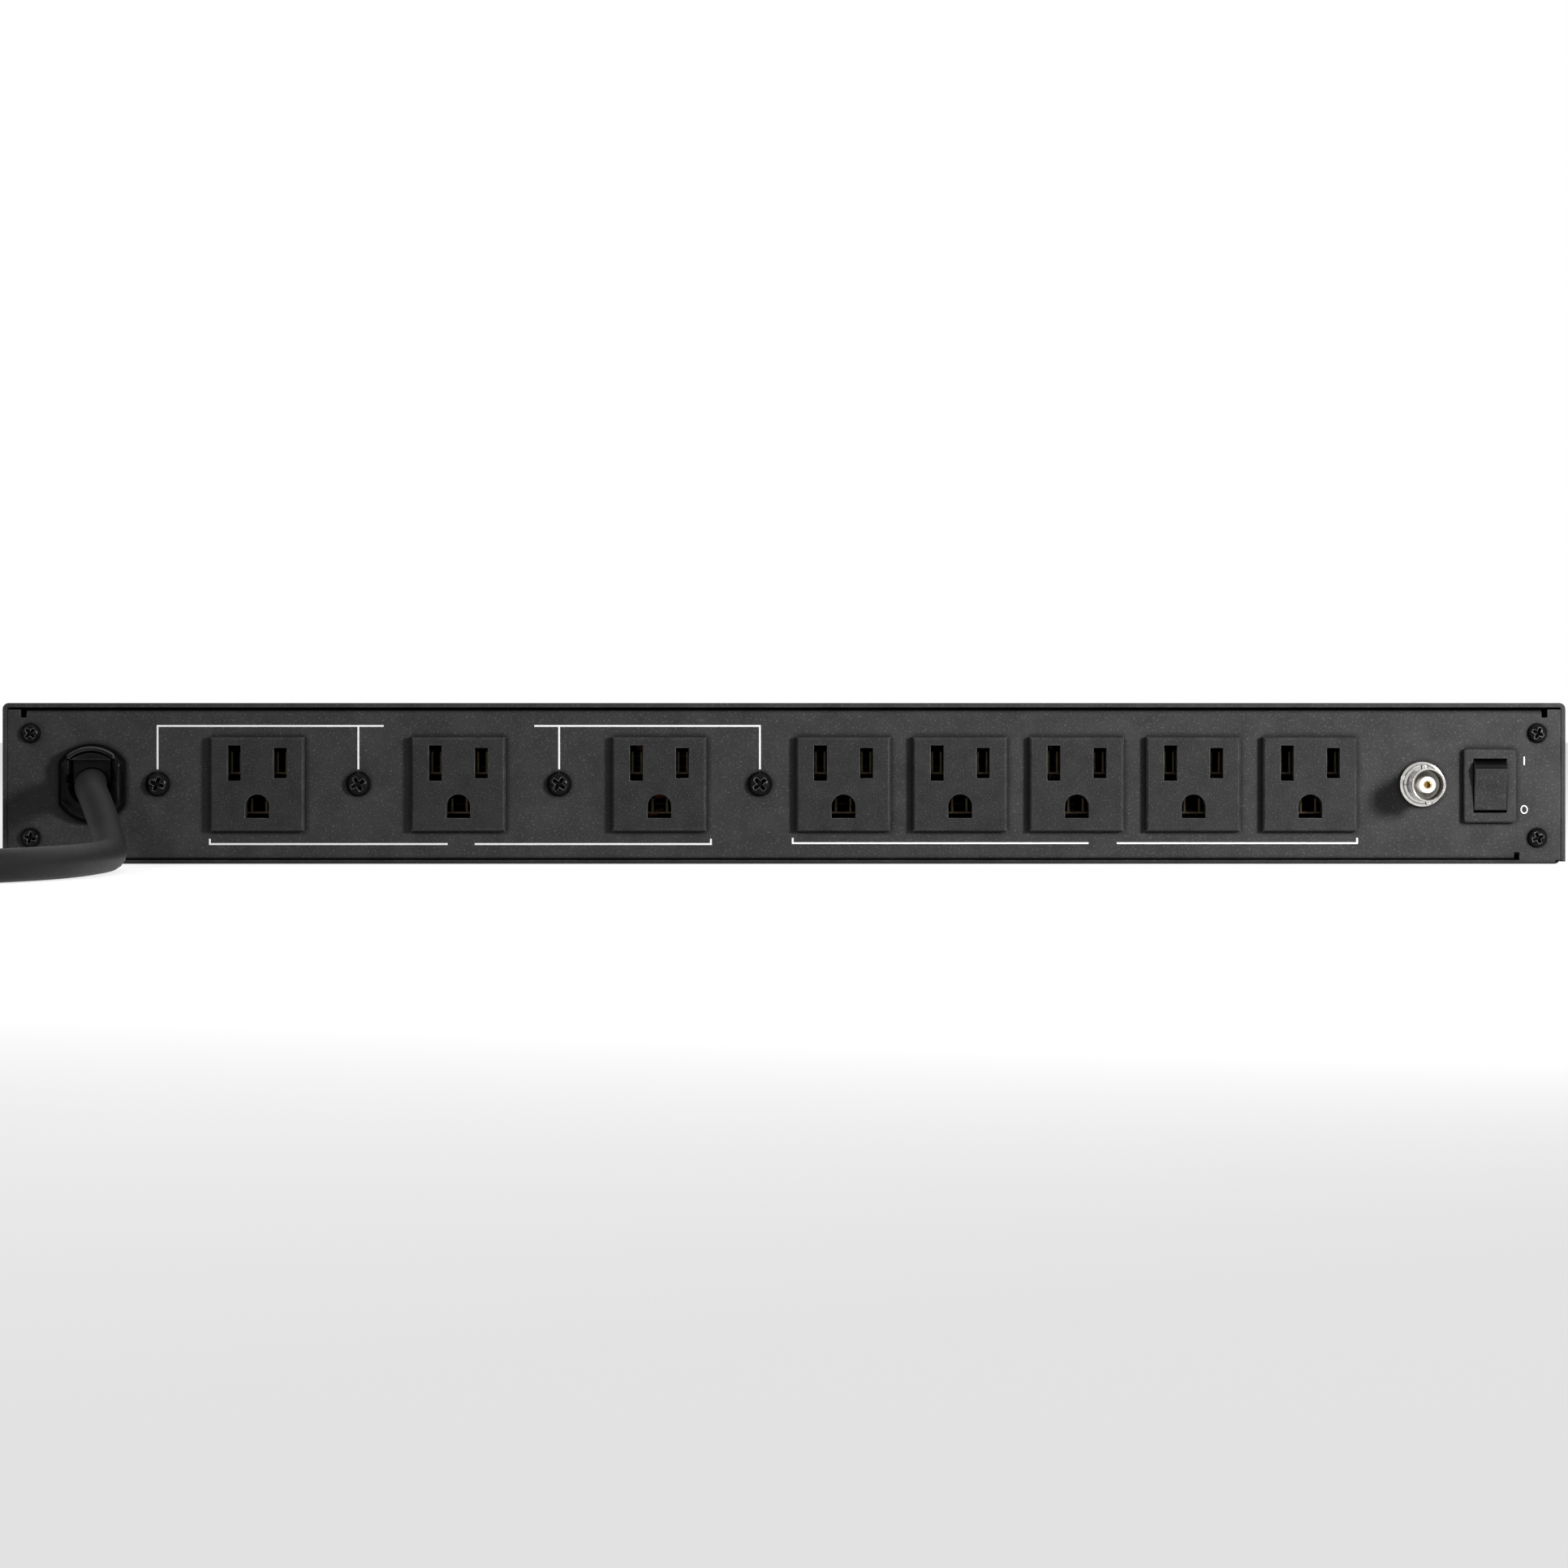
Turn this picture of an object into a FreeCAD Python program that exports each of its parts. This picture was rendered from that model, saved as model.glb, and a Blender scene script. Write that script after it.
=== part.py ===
import FreeCAD, Part

# Rack power strip, one rack unit high: a sheet steel case with eight outlets, a lamp socket and a lamp
# switch on the back, and a 19 inch panel with the controls and two pull-out lamps on the front.
# Axes: +X to the right and +Z up for someone facing the back, +Y from the back to the front panel.
# The origin is the middle of the underside, halfway along the overall depth. Units are millimetres.

import math
import os
import Sketcher

# ---------------------------------------------------------------- driving dimensions
SIZES = {
    # case
    "body_width": 432.0,
    "body_height": 44.45,
    "body_depth": 203.0,
    "cover_sheet": 1.2,
    "cover_lift": 0.6,
    "cover_corner": 1.7,
    "tray_sheet": 1.0,
    "tray_bend": 1.6,
    "tray_wall_drop": 6.45,
    "tab_width": 12.0,
    "rear_sheet": 1.2,
    "rear_bend": 1.5,
    "rear_flange": 11.0,
    "sheet_gap": 0.2,
    "top_gap": 0.65,
    "top_notch_inset": 5.8,
    "top_notch_width": 1.7,
    "bottom_notch_inset": 13.5,
    "bottom_notch_width": 1.5,
    "notch_depth": 2.2,
    "ear_width": 25.3,
    "front_sheet": 3.0,
    "rack_slot_inset": 8.75,
    "rack_hole_rise": 31.75,
    "rack_slot_width": 7.0,
    "rack_slot_length": 10.5,
    # fasteners
    "corner_screw_inset": 7.8,
    "corner_screw_low": 7.2,
    "corner_screw_drop": 8.35,
    "corner_head": 5.5,
    "corner_thread": 3.0,
    "strap_head": 6.9,
    "strap_thread": 4.0,
    "screw_depth": 8.0,
    # outlets
    "outlet_face": 26.0,
    "outlet_level": 22.05,
    "outlet_proud": 2.6,
    "outlet_bevel": 0.55,
    "outlet_neck": 24.4,
    "outlet_depth": 24.0,
    "clip_proud": 0.9,
    "clip_length": 4.0,
    "clip_width": 7.8,
    "blade_spacing": 12.7,
    "blade_rise": 5.8,
    "ground_drop": 6.1,
    "neutral_slot": 9.8,
    "hot_slot": 8.4,
    "slot_width": 3.6,
    "ground_width": 6.6,
    "contact_sheet": 0.6,
    "contact_width": 3.0,
    "contact_height": 6.3,
    "contact_length": 10.0,
    "contact_set_back": 6.0,
    "contact_tab": 7.0,
    "ground_contact": 4.6,
    # strain relief and mains cord
    "relief_level": 22.3,
    "relief_head": 21.8,
    "relief_flats": 18.4,
    "relief_proud": 4.2,
    "relief_neck": 16.0,
    "relief_depth": 11.0,
    "relief_lip": 0.8,
    "cord_diameter": 8.5,
    # lamp socket
    "bnc_level": 22.0,
    "bnc_barrel": 9.4,
    "bnc_bore": 8.4,
    "bnc_reach": 15.0,
    "bnc_flange": 12.5,
    "bnc_thread": 9.0,
    "bnc_insulator": 4.6,
    "bnc_contact": 2.2,
    "bnc_contact_bore": 1.5,
    # rear lamp switch
    "lamp_switch_level": 21.6,
    "lamp_bezel_width": 14.6,
    "lamp_bezel_height": 20.4,
    "lamp_key_width": 9.25,
    "lamp_key_height": 15.0,
    # front controls
    "main_bezel_width": 21.0,
    "main_bezel_height": 30.0,
    "main_key_width": 15.0,
    "main_key_height": 22.0,
    "bezel_proud": 2.0,
    "bezel_corner": 0.9,
    "switch_wall": 1.2,
    "switch_depth": 20.0,
    "key_gap": 0.15,
    "key_swing": 25.0,
    "terminal_width": 4.8,
    "terminal_sheet": 0.8,
    "key_pin": 2.4,
    "key_pin_gap": 0.05,
    "front_level": 22.2,
    "breaker_neck": 11.0,
    "breaker_body_width": 14.0,
    "breaker_body_height": 30.0,
    "breaker_body_depth": 27.0,
    "breaker_button": 7.0,
    "breaker_reach": 6.0,
    "dimmer_body": 16.0,
    "dimmer_body_depth": 9.0,
    "dimmer_neck": 7.0,
    "dimmer_shaft": 6.0,
    "knob_diameter": 16.0,
    "knob_reach": 14.5,
    "knob_gap": 1.0,
    "panel_nut": 2.2,
    "shaft_gap": 0.04,
    # pull-out lamps
    "lamp_level": 22.2,
    "lamp_diameter": 19.0,
    "lamp_wall": 1.0,
    "lamp_length": 113.0,
    "lamp_cap": 24.0,
    "lamp_cap_reach": 11.0,
    "lamp_window": 62.0,
    "guide_diameter": 26.0,
    "guide_wall": 1.0,
    "carrier_length": 16.0,
    "journal_diameter": 12.0,
    "slide_gap": 0.15,
    "bulb_diameter": 8.0,
    "bulb_length": 44.0,
    # filter board and lamp transformer
    "board_from_rear": 52.0,
    "board_width": 130.0,
    "board_length": 78.0,
    "board_sheet": 1.6,
    "standoff_height": 6.0,
    "standoff_diameter": 6.0,
    "board_hole_inset": 5.0,
    "choke_diameter": 27.0,
    "choke_bore": 13.0,
    "choke_width": 12.0,
    "cap_width": 26.5,
    "cap_depth": 11.0,
    "cap_height": 19.0,
    "disc_diameter": 20.0,
    "disc_thickness": 5.0,
    "trafo_from_rear": 56.0,
    "core_width": 41.0,
    "core_height": 34.0,
    "core_stack": 18.0,
    "coil_depth": 32.0,
    "foot_sheet": 1.0,
    "foot_reach": 9.0,
    "wire_diameter": 2.8,
    # plug
    "plug_length": 36.0,
    "plug_width": 26.0,
    "plug_height": 22.0,
    "plug_boot": 26.0,
    "blade_thickness": 1.6,
    "blade_width": 6.3,
    "blade_length": 17.5,
    "ground_pin": 4.8,
    "ground_pin_length": 21.0,
    "lead_coil_middle": 100.0,
    "lead_coil_width": 42.5,
    "lead_coil_height": 19.0,
}

# Places across the case, as parts of its width from the middle.
SHARES = {
    "bank_a_share": -0.208102,
    "bank_a_pitch_share": 0.128472,
    "bank_b_share": 0.187037,
    "bank_b_pitch_share": 0.074537,
    "relief_share": -0.442361,
    "bnc_share": 0.408102,
    "lamp_switch_share": 0.451157,
    "main_switch_share": -0.259259,
    "breaker_share": -0.180556,
    "front_outlet_share": -0.069444,
    "dimmer_share": 0.166667,
    "lamp_share": 0.381944,
    "board_share": -0.046296,
    "trafo_share": 0.226852,
}

doc = FreeCAD.newDocument("RackPowerStrip")
sheet = doc.addObject("Spreadsheet::Sheet", "Sizes")
for row, (alias, amount) in enumerate({**SIZES, **SHARES}.items(), 1):
    sheet.set(f"A{row}", alias)
    sheet.set(f"B{row}", str(amount))
    sheet.setAlias(f"B{row}", alias)
doc.recompute()


class Size:
    """A length that carries both its number and the spreadsheet expression that gives it."""

    def __init__(self, text, number):
        self.text = text
        self.number = number

    def joined(self, other, sign, number):
        return Size(f"({self.text} {sign} {text_of(other)})", number)

    def __add__(self, other):
        return self.joined(other, "+", self.number + number_of(other))

    def __sub__(self, other):
        return self.joined(other, "-", self.number - number_of(other))

    def __mul__(self, other):
        return self.joined(other, "*", self.number * number_of(other))

    def __truediv__(self, other):
        return self.joined(other, "/", self.number / number_of(other))

    def __neg__(self):
        return Size(f"(-1 * {self.text})", -self.number)

    def __radd__(self, other):
        return self + other

    def __rsub__(self, other):
        return -self + other

    def __rmul__(self, other):
        return self * other


def text_of(length):
    return length.text if isinstance(length, Size) else f"{length:.6g}"


def number_of(length):
    return length.number if isinstance(length, Size) else float(length)


class Sheet:
    """Reads a cell of the spreadsheet by its alias, as a Size."""

    def __getattr__(self, alias):
        return Size(f"Sizes.{alias}", float(sheet.get(alias)))


s = Sheet()
MADE = []


def bind(thing, place, length):
    """Ties one property of an object to the spreadsheet, or sets it when it is a plain number."""
    thing.setExpression(place, text_of(length))


def turned(axis, degrees):
    return FreeCAD.Rotation(FreeCAD.Vector(*axis), degrees)


UPRIGHT = turned((0, 0, 1), 0)
ABOUT_FACE = turned((0, 0, 1), 180)


def put(thing, x=0, y=0, z=0, rotation=UPRIGHT):
    """Places an object at a point worked out by the spreadsheet, turned first."""
    thing.Placement = FreeCAD.Placement(FreeCAD.Vector(), rotation)
    bind(thing, ".Placement.Base.x", x)
    bind(thing, ".Placement.Base.y", y)
    bind(thing, ".Placement.Base.z", z)


def node(thing, label):
    """Marks an object as one of the model's sub-parts."""
    thing.Label = label
    MADE.append(thing)
    return thing


def body(label, x=0, y=0, z=0, rotation=UPRIGHT):
    """A new PartDesign body, kept as a sub-part."""
    made = doc.addObject("PartDesign::Body", "Body_" + label)
    put(made, x, y, z, rotation)
    return node(made, label)


def sketch(owner, plane, offset=0):
    """An empty sketch on one of the body's origin planes, moved along the plane's normal."""
    made = owner.newObject("Sketcher::SketchObject", "Sketch")
    flat = [item for item in owner.Origin.OriginFeatures if item.Role == plane][0]
    made.AttachmentSupport = [(flat, "")]
    made.MapMode = "FlatFace"
    bind(made, ".AttachmentOffset.Base.z", offset)
    return made


def place_point(drawing, shape, end, x, y):
    """Holds one point of a sketch at x and y from the sketch's origin."""
    for kind, length in (("DistanceX", x), ("DistanceY", y)):
        held = drawing.addConstraint(Sketcher.Constraint(kind, -1, 1, shape, end, number_of(length)))
        if isinstance(length, Size):
            bind(drawing, f"Constraints[{held}]", length)


def polygon(drawing, points):
    """Draws a closed outline with straight sides through the given points."""
    flat = [FreeCAD.Vector(number_of(x), number_of(y), 0) for x, y in points]
    first = drawing.GeometryCount
    total = len(points)
    for step in range(total):
        drawing.addGeometry(Part.LineSegment(flat[step], flat[(step + 1) % total]), False)
    for step in range(total):
        after = first + (step + 1) % total
        drawing.addConstraint(Sketcher.Constraint("Coincident", first + step, 2, after, 1))
    for step, (x, y) in enumerate(points):
        place_point(drawing, first + step, 1, x, y)
    return drawing


def rectangle(drawing, left, right, low, high):
    return polygon(drawing, [(left, low), (right, low), (right, high), (left, high)])


def circle(drawing, x, y, radius):
    """Draws a circle with its middle and its radius held by the spreadsheet."""
    middle = FreeCAD.Vector(number_of(x), number_of(y), 0)
    ring = Part.Circle(middle, FreeCAD.Vector(0, 0, 1), number_of(radius))
    index = drawing.addGeometry(ring, False)
    place_point(drawing, index, 3, x, y)
    held = drawing.addConstraint(Sketcher.Constraint("Radius", index, number_of(radius)))
    bind(drawing, f"Constraints[{held}]", radius)
    return drawing


def feature(owner, kind, drawing, length, reverse=False, both=False):
    """A pad or pocket of one sketch, checked for having added or taken something."""
    before = owner.Shape.Volume if owner.Tip else 0.0
    made = owner.newObject("PartDesign::" + kind, kind)
    made.Profile = drawing
    made.Reversed = reverse
    made.Midplane = both
    bind(made, "Length", length)
    doc.recompute()
    change = made.Shape.Volume - before
    if (kind == "Pad" and change <= 0) or (kind == "Pocket" and change >= 0):
        raise ValueError(f"{owner.Label}: a {kind} of {drawing.Name} changed nothing")
    return made


def pad(owner, drawing, length, reverse=False, both=False):
    return feature(owner, "Pad", drawing, length, reverse, both)


def pocket(owner, drawing, length, reverse=False, both=False):
    return feature(owner, "Pocket", drawing, length, reverse, both)


def revolve(owner, points):
    """Turns a profile of (radius, along) points about the body's Y axis."""
    drawing = polygon(sketch(owner, "XY_Plane"), points)
    made = owner.newObject("PartDesign::Revolution", "Revolution")
    made.Profile = drawing
    made.ReferenceAxis = (drawing, ["V_Axis"])
    made.Angle = 360
    doc.recompute()
    return made


def round_edges(owner, radius, wanted, kind="Fillet"):
    """Rounds or bevels the edges of a body that the given test picks."""
    base = owner.Tip
    names = [f"Edge{count}" for count, edge in enumerate(base.Shape.Edges, 1) if wanted(edge)]
    if not names:
        raise ValueError(f"{owner.Label}: no edge to round")
    made = owner.newObject("PartDesign::" + kind, kind)
    made.Base = (base, names)
    bind(made, "Radius" if kind == "Fillet" else "Size", radius)
    doc.recompute()
    return made


def runs_along(edge, axis):
    """True for a straight edge along one axis, 0 for X, 1 for Y and 2 for Z."""
    if len(edge.Vertexes) != 2 or edge.Curve.TypeId != "Part::GeomLine":
        return False
    step = edge.Vertexes[1].Point - edge.Vertexes[0].Point
    return abs(abs(step[axis]) - step.Length) < 1e-6


def at(edge, axis, place):
    """True when the middle of an edge lies at the given place along one axis."""
    return abs(edge.CenterOfMass[axis] - number_of(place)) < 1e-4


def box(name, width, depth, height):
    """A plain block for boolean work, its lowest corner at its own origin."""
    made = doc.addObject("Part::Box", name)
    bind(made, "Length", width)
    bind(made, "Width", depth)
    bind(made, "Height", height)
    return made


def centred_box(name, x, y, z, width, depth, height):
    """A block with its middle at x and y and its underside at z."""
    made = box(name, width, depth, height)
    put(made, x - width / 2, y - depth / 2, z)
    return made


ALONG_Y = turned((1, 0, 0), -90)


def rod(name, radius, length, x=0, y=0, z=0, rotation=ALONG_Y):
    """A cylinder that starts at a point and runs along +Y unless it is turned."""
    made = doc.addObject("Part::Cylinder", name)
    bind(made, "Radius", radius)
    bind(made, "Height", length)
    put(made, x, y, z, rotation)
    return made


def cut(name, base, *tools):
    """The base less each tool in turn."""
    for count, tool in enumerate(tools):
        made = doc.addObject("Part::Cut", f"{name}_{count}")
        made.Base = base
        made.Tool = tool
        base = made
    return base


def fuse(name, *shapes):
    made = doc.addObject("Part::MultiFuse", name)
    made.Shapes = list(shapes)
    return made


def group(label, *shapes):
    """Several loose solids of one kind kept in one sub-part."""
    made = doc.addObject("Part::Compound", "Group_" + label)
    made.Links = list(shapes)
    return node(made, label)


def copy_of(source, x, y, z, rotation=UPRIGHT):
    """A linked copy of a piece in another place."""
    made = doc.addObject("App::Link", "Copy")
    made.setLink(source)
    put(made, x, y, z, rotation)
    return made


def rounded_route(points):
    """A wire of straight runs joined by tangent arcs, and the radius of each arc."""
    knots = [FreeCAD.Vector(*point) for point in points]
    edges = []
    radii = []
    start = knots[0]
    for before, corner, after in zip(knots, knots[1:], knots[2:]):
        back = (before - corner).normalize()
        ahead = (after - corner).normalize()
        half_turn = (math.pi - back.getAngle(ahead)) / 2
        reach = 0.45 * min((before - corner).Length, (after - corner).Length)
        radius = reach / math.tan(half_turn)
        enter = corner + back * reach
        leave = corner + ahead * reach
        inward = (back + ahead).normalize()
        middle = corner + inward * (radius / math.cos(half_turn) - radius)
        edges.append(Part.LineSegment(start, enter).toShape())
        edges.append(Part.Arc(enter, middle, leave).toShape())
        radii.append(radius)
        start = leave
    edges.append(Part.LineSegment(start, knots[-1]).toShape())
    return Part.Wire(edges), radii


def tube(points, diameter):
    """A round cable along a route of points, checked against its section times its length."""
    path, radii = rounded_route(points)
    first = path.Edges[0]
    facing = (first.Vertexes[1].Point - first.Vertexes[0].Point).normalize()
    ring = Part.Circle(FreeCAD.Vector(*points[0]), facing, diameter / 2).toShape()
    solid = path.makePipeShell([Part.Wire([ring])], True, True)
    expected = math.pi * diameter * diameter / 4 * path.Length
    if abs(solid.Volume / expected - 1) > 0.01:
        raise ValueError(f"tube volume {solid.Volume:.1f} is not {expected:.1f}")
    return solid, path.Length, radii


rear = (s.bnc_reach - s.body_depth - s.front_sheet - s.knob_reach) / 2
front_back = rear + s.body_depth
front_face = front_back + s.front_sheet
half_width = s.body_width / 2
inside_half = half_width - s.cover_sheet
roof = s.body_height - s.cover_sheet
tray_wall = s.body_height - s.tray_wall_drop
corner_at = half_width - s.corner_screw_inset
corner_levels = (s.corner_screw_low, s.body_height - s.corner_screw_drop)
relief_at = s.body_width * s.relief_share
bnc_at = s.body_width * s.bnc_share
lamp_switch_at = s.body_width * s.lamp_switch_share
main_switch_at = s.body_width * s.main_switch_share
breaker_at = s.body_width * s.breaker_share
front_outlet_at = s.body_width * s.front_outlet_share
dimmer_at = s.body_width * s.dimmer_share
lamp_at = s.body_width * s.lamp_share

# ---------------------------------------------------------------- case
# Tray: floor and side walls folded up from one sheet, with tabs folded in at both ends of the walls.
tray_start = s.rear_sheet + s.sheet_gap
tray_long = s.body_depth - tray_start
tray = body("chassis_tray", 0, rear + tray_start, 0)
tray_inside = inside_half - s.tray_sheet
channel = sketch(tray, "XZ_Plane")
polygon(channel, [
    (-inside_half, 0), (inside_half, 0), (inside_half, tray_wall), (tray_inside, tray_wall),
    (tray_inside, s.tray_sheet), (-tray_inside, s.tray_sheet), (-tray_inside, tray_wall),
    (-inside_half, tray_wall),
])
pad(tray, channel, tray_long, reverse=True)
round_edges(tray, s.tray_bend, lambda edge: runs_along(edge, 1) and at(edge, 2, 0))
round_edges(tray, s.tray_bend - s.tray_sheet, lambda edge: runs_along(edge, 1) and at(edge, 2, s.tray_sheet))
strip = rectangle(sketch(tray, "XZ_Plane"), s.tray_bend - inside_half, inside_half - s.tray_bend, 0,
                  s.tray_sheet)
pad(tray, strip, tray_start)
tab_low = s.tray_sheet + s.tray_bend
tab_high = tray_wall
tab_inner = tray_inside - s.tab_width
for side in (-1, 1):
    tab = rectangle(sketch(tray, "XZ_Plane"), side * tab_inner, side * tray_inside, tab_low, tab_high)
    pad(tray, tab, s.tray_sheet, reverse=True)
    far = rectangle(sketch(tray, "XZ_Plane", -1 * tray_long), side * tab_inner, side * tray_inside,
                    tab_low, tab_high)
    pad(tray, far, s.tray_sheet)
thread_holes = sketch(tray, "XZ_Plane")
for side in (-1, 1):
    for level in corner_levels:
        circle(thread_holes, side * corner_at, level, s.corner_thread / 2)
pocket(tray, thread_holes, tray_long)

# Cover: top and sides folded from one sheet, slid over the tray and level with the back.
cover = body("top_cover", 0, rear, 0)
hood = sketch(cover, "XZ_Plane")
polygon(hood, [
    (-half_width, s.cover_lift), (-inside_half, s.cover_lift), (-inside_half, roof), (inside_half, roof),
    (inside_half, s.cover_lift), (half_width, s.cover_lift), (half_width, s.body_height),
    (-half_width, s.body_height),
])
pad(cover, hood, s.body_depth, reverse=True)
round_edges(cover, s.cover_corner, lambda edge: runs_along(edge, 1) and at(edge, 2, s.body_height))
round_edges(cover, s.cover_corner - s.cover_sheet, lambda edge: runs_along(edge, 1) and at(edge, 2, roof))
side_screws = sketch(cover, "YZ_Plane")
side_screw_level = s.body_height / 2
side_places = (s.body_depth / 8, s.body_depth * 7 / 8)
for along in side_places:
    circle(side_screws, along, side_screw_level, s.corner_thread / 2)
pocket(cover, side_screws, s.body_width + s.cover_sheet, both=True)
side_taps = sketch(tray, "YZ_Plane")
for along in side_places:
    circle(side_taps, along - tray_start, side_screw_level, s.corner_thread / 2)
pocket(tray, side_taps, s.body_width, both=True)

# Rear panel: punched sheet with a top and a bottom flange folded forward between relief notches.
panel_half = inside_half - s.sheet_gap
panel_top = roof - s.top_gap
panel_low = s.tray_sheet
top_notch_at = half_width - s.top_notch_inset
bottom_notch_at = half_width - s.bottom_notch_inset
top_flange_half = top_notch_at - s.top_notch_width / 2
low_flange_half = bottom_notch_at - s.bottom_notch_width / 2
notch_top = panel_top - s.notch_depth
notch_low = panel_low + s.notch_depth
panel = body("rear_panel", 0, rear, 0)
top_outer = top_notch_at + s.top_notch_width / 2
low_outer = bottom_notch_at + s.bottom_notch_width / 2
outline = [
    (-panel_half, panel_low), (-low_outer, panel_low), (-low_outer, notch_low),
    (-low_flange_half, notch_low), (-low_flange_half, panel_low), (low_flange_half, panel_low),
    (low_flange_half, notch_low), (low_outer, notch_low), (low_outer, panel_low),
    (panel_half, panel_low), (panel_half, panel_top), (top_outer, panel_top), (top_outer, notch_top),
    (top_flange_half, notch_top), (top_flange_half, panel_top), (-top_flange_half, panel_top),
    (-top_flange_half, notch_top), (-top_outer, notch_top), (-top_outer, panel_top),
    (-panel_half, panel_top),
]
pad(panel, polygon(sketch(panel, "XZ_Plane"), outline), s.rear_sheet, reverse=True)
top_fold = rectangle(sketch(panel, "YZ_Plane"), s.rear_sheet, s.rear_flange,
                     panel_top - s.rear_sheet, panel_top)
pad(panel, top_fold, top_flange_half * 2, both=True)
low_fold = rectangle(sketch(panel, "YZ_Plane"), s.rear_sheet, s.rear_flange, panel_low,
                     panel_low + s.rear_sheet)
pad(panel, low_fold, low_flange_half * 2, both=True)


def outer_bend(edge):
    """The long outer edges where the flanges fold away from the panel's face."""
    long_enough = edge.Length > half_width.number
    at_face = at(edge, 1, 0) and (at(edge, 2, panel_top) or at(edge, 2, panel_low))
    return runs_along(edge, 0) and long_enough and at_face


round_edges(panel, s.rear_bend, outer_bend)
round_edges(panel, s.rear_bend - s.rear_sheet,
            lambda edge: runs_along(edge, 0) and at(edge, 1, s.rear_sheet) and edge.Length > half_width.number)

bank_a_middle = s.body_width * s.bank_a_share
bank_a_pitch = s.body_width * s.bank_a_pitch_share
bank_b_middle = s.body_width * s.bank_b_share
bank_b_pitch = s.body_width * s.bank_b_pitch_share
bank_a = [bank_a_middle + bank_a_pitch * step for step in (-1, 0, 1)]
bank_b = [bank_b_middle + bank_b_pitch * step for step in (-2, -1, 0, 1, 2)]
strap_places = [bank_a_middle + bank_a_pitch * step for step in (-1.5, -0.5, 0.5, 1.5)]
outlet_opening = s.outlet_neck / 2 + s.sheet_gap
openings = sketch(panel, "XZ_Plane")
for place in bank_a + bank_b:
    rectangle(openings, place - outlet_opening, place + outlet_opening, s.outlet_level - outlet_opening,
              s.outlet_level + outlet_opening)
for place in strap_places:
    circle(openings, place, s.outlet_level, s.strap_thread / 2)
for side in (-1, 1):
    for level in corner_levels:
        circle(openings, side * corner_at, level, s.corner_thread / 2)
circle(openings, relief_at, s.relief_level, s.relief_neck / 2)
circle(openings, bnc_at, s.bnc_level, s.bnc_thread / 2)
lamp_hole_half = s.lamp_key_width / 2 + s.switch_wall + s.sheet_gap
lamp_hole_tall = s.lamp_key_height / 2 + s.switch_wall + s.sheet_gap
rectangle(openings, lamp_switch_at - lamp_hole_half, lamp_switch_at + lamp_hole_half,
          s.lamp_switch_level - lamp_hole_tall, s.lamp_switch_level + lamp_hole_tall)
pocket(panel, openings, s.rear_sheet)

# Front panel: flat plate with slotted rack holes in its ears.
plate = body("front_panel", 0, front_back, 0)
front_half = half_width + s.ear_width
slot_at = front_half - s.rack_slot_inset
rectangle_plate = rectangle(sketch(plate, "XZ_Plane"), -front_half, front_half, 0, s.body_height)
pad(plate, rectangle_plate, s.front_sheet, reverse=True)
slot_run = (s.rack_slot_length - s.rack_slot_width) / 2
for side in (-1, 1):
    for rise in (-1, 1):
        level = s.body_height / 2 + rise * s.rack_hole_rise / 2
        across = side * slot_at
        slot = rectangle(sketch(plate, "XZ_Plane"), across - slot_run - s.rack_slot_width / 2,
                         across + slot_run + s.rack_slot_width / 2,
                         level - s.rack_slot_width / 2, level + s.rack_slot_width / 2)
        pocket(plate, slot, s.front_sheet)


def slot_corner(edge):
    """The edges through the plate at the corners of the rack slots."""
    across = abs(edge.CenterOfMass.x)
    return runs_along(edge, 1) and half_width.number < across < front_half.number - 0.1


round_edges(plate, s.rack_slot_width / 2 - 0.001, slot_corner)
round_edges(plate, s.front_sheet / 3, lambda edge: runs_along(edge, 1) and at(edge, 0, front_half))
round_edges(plate, s.front_sheet / 3, lambda edge: runs_along(edge, 1) and at(edge, 0, -front_half))
controls = sketch(plate, "XZ_Plane")
main_hole_half = s.main_key_width / 2 + s.switch_wall + s.sheet_gap
main_hole_tall = s.main_key_height / 2 + s.switch_wall + s.sheet_gap
rectangle(controls, main_switch_at - main_hole_half, main_switch_at + main_hole_half,
          s.front_level - main_hole_tall, s.front_level + main_hole_tall)
circle(controls, breaker_at, s.front_level, s.breaker_neck / 2)
rectangle(controls, front_outlet_at - outlet_opening, front_outlet_at + outlet_opening,
          s.front_level - outlet_opening, s.front_level + outlet_opening)
circle(controls, dimmer_at, s.front_level, s.dimmer_neck / 2)
lamp_hole = s.lamp_diameter / 2 + s.slide_gap
for side in (-1, 1):
    circle(controls, side * lamp_at, s.lamp_level, lamp_hole)
    for level in corner_levels:
        circle(controls, side * corner_at, level, s.corner_thread / 2)
pocket(plate, controls, s.front_sheet)


# ---------------------------------------------------------------- screws
def pan_screw(label, head, thread, long):
    """A pan head screw along +Y with a cross recess; its head sits behind y = 0."""
    made = doc.addObject("PartDesign::Body", "Screw_" + label)
    rise = head * 0.34
    revolve(made, [
        (0, -1 * rise), (head * 0.2, rise * -0.98), (head * 0.36, rise * -0.78), (head * 0.46, rise * -0.45),
        (head / 2, 0), (thread / 2, 0), (thread / 2, long), (0, long),
    ])
    arm = head * 0.27
    width = head * 0.06
    cross = sketch(made, "XZ_Plane", rise)
    polygon(cross, [
        (-1 * arm, -1 * width), (-1 * width, -1 * width), (-1 * width, -1 * arm), (width, -1 * arm),
        (width, -1 * width), (arm, -1 * width), (arm, width), (width, width), (width, arm),
        (-1 * width, arm), (-1 * width, width), (-1 * arm, width),
    ])
    pocket(made, cross, rise * 0.75)
    return made


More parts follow.
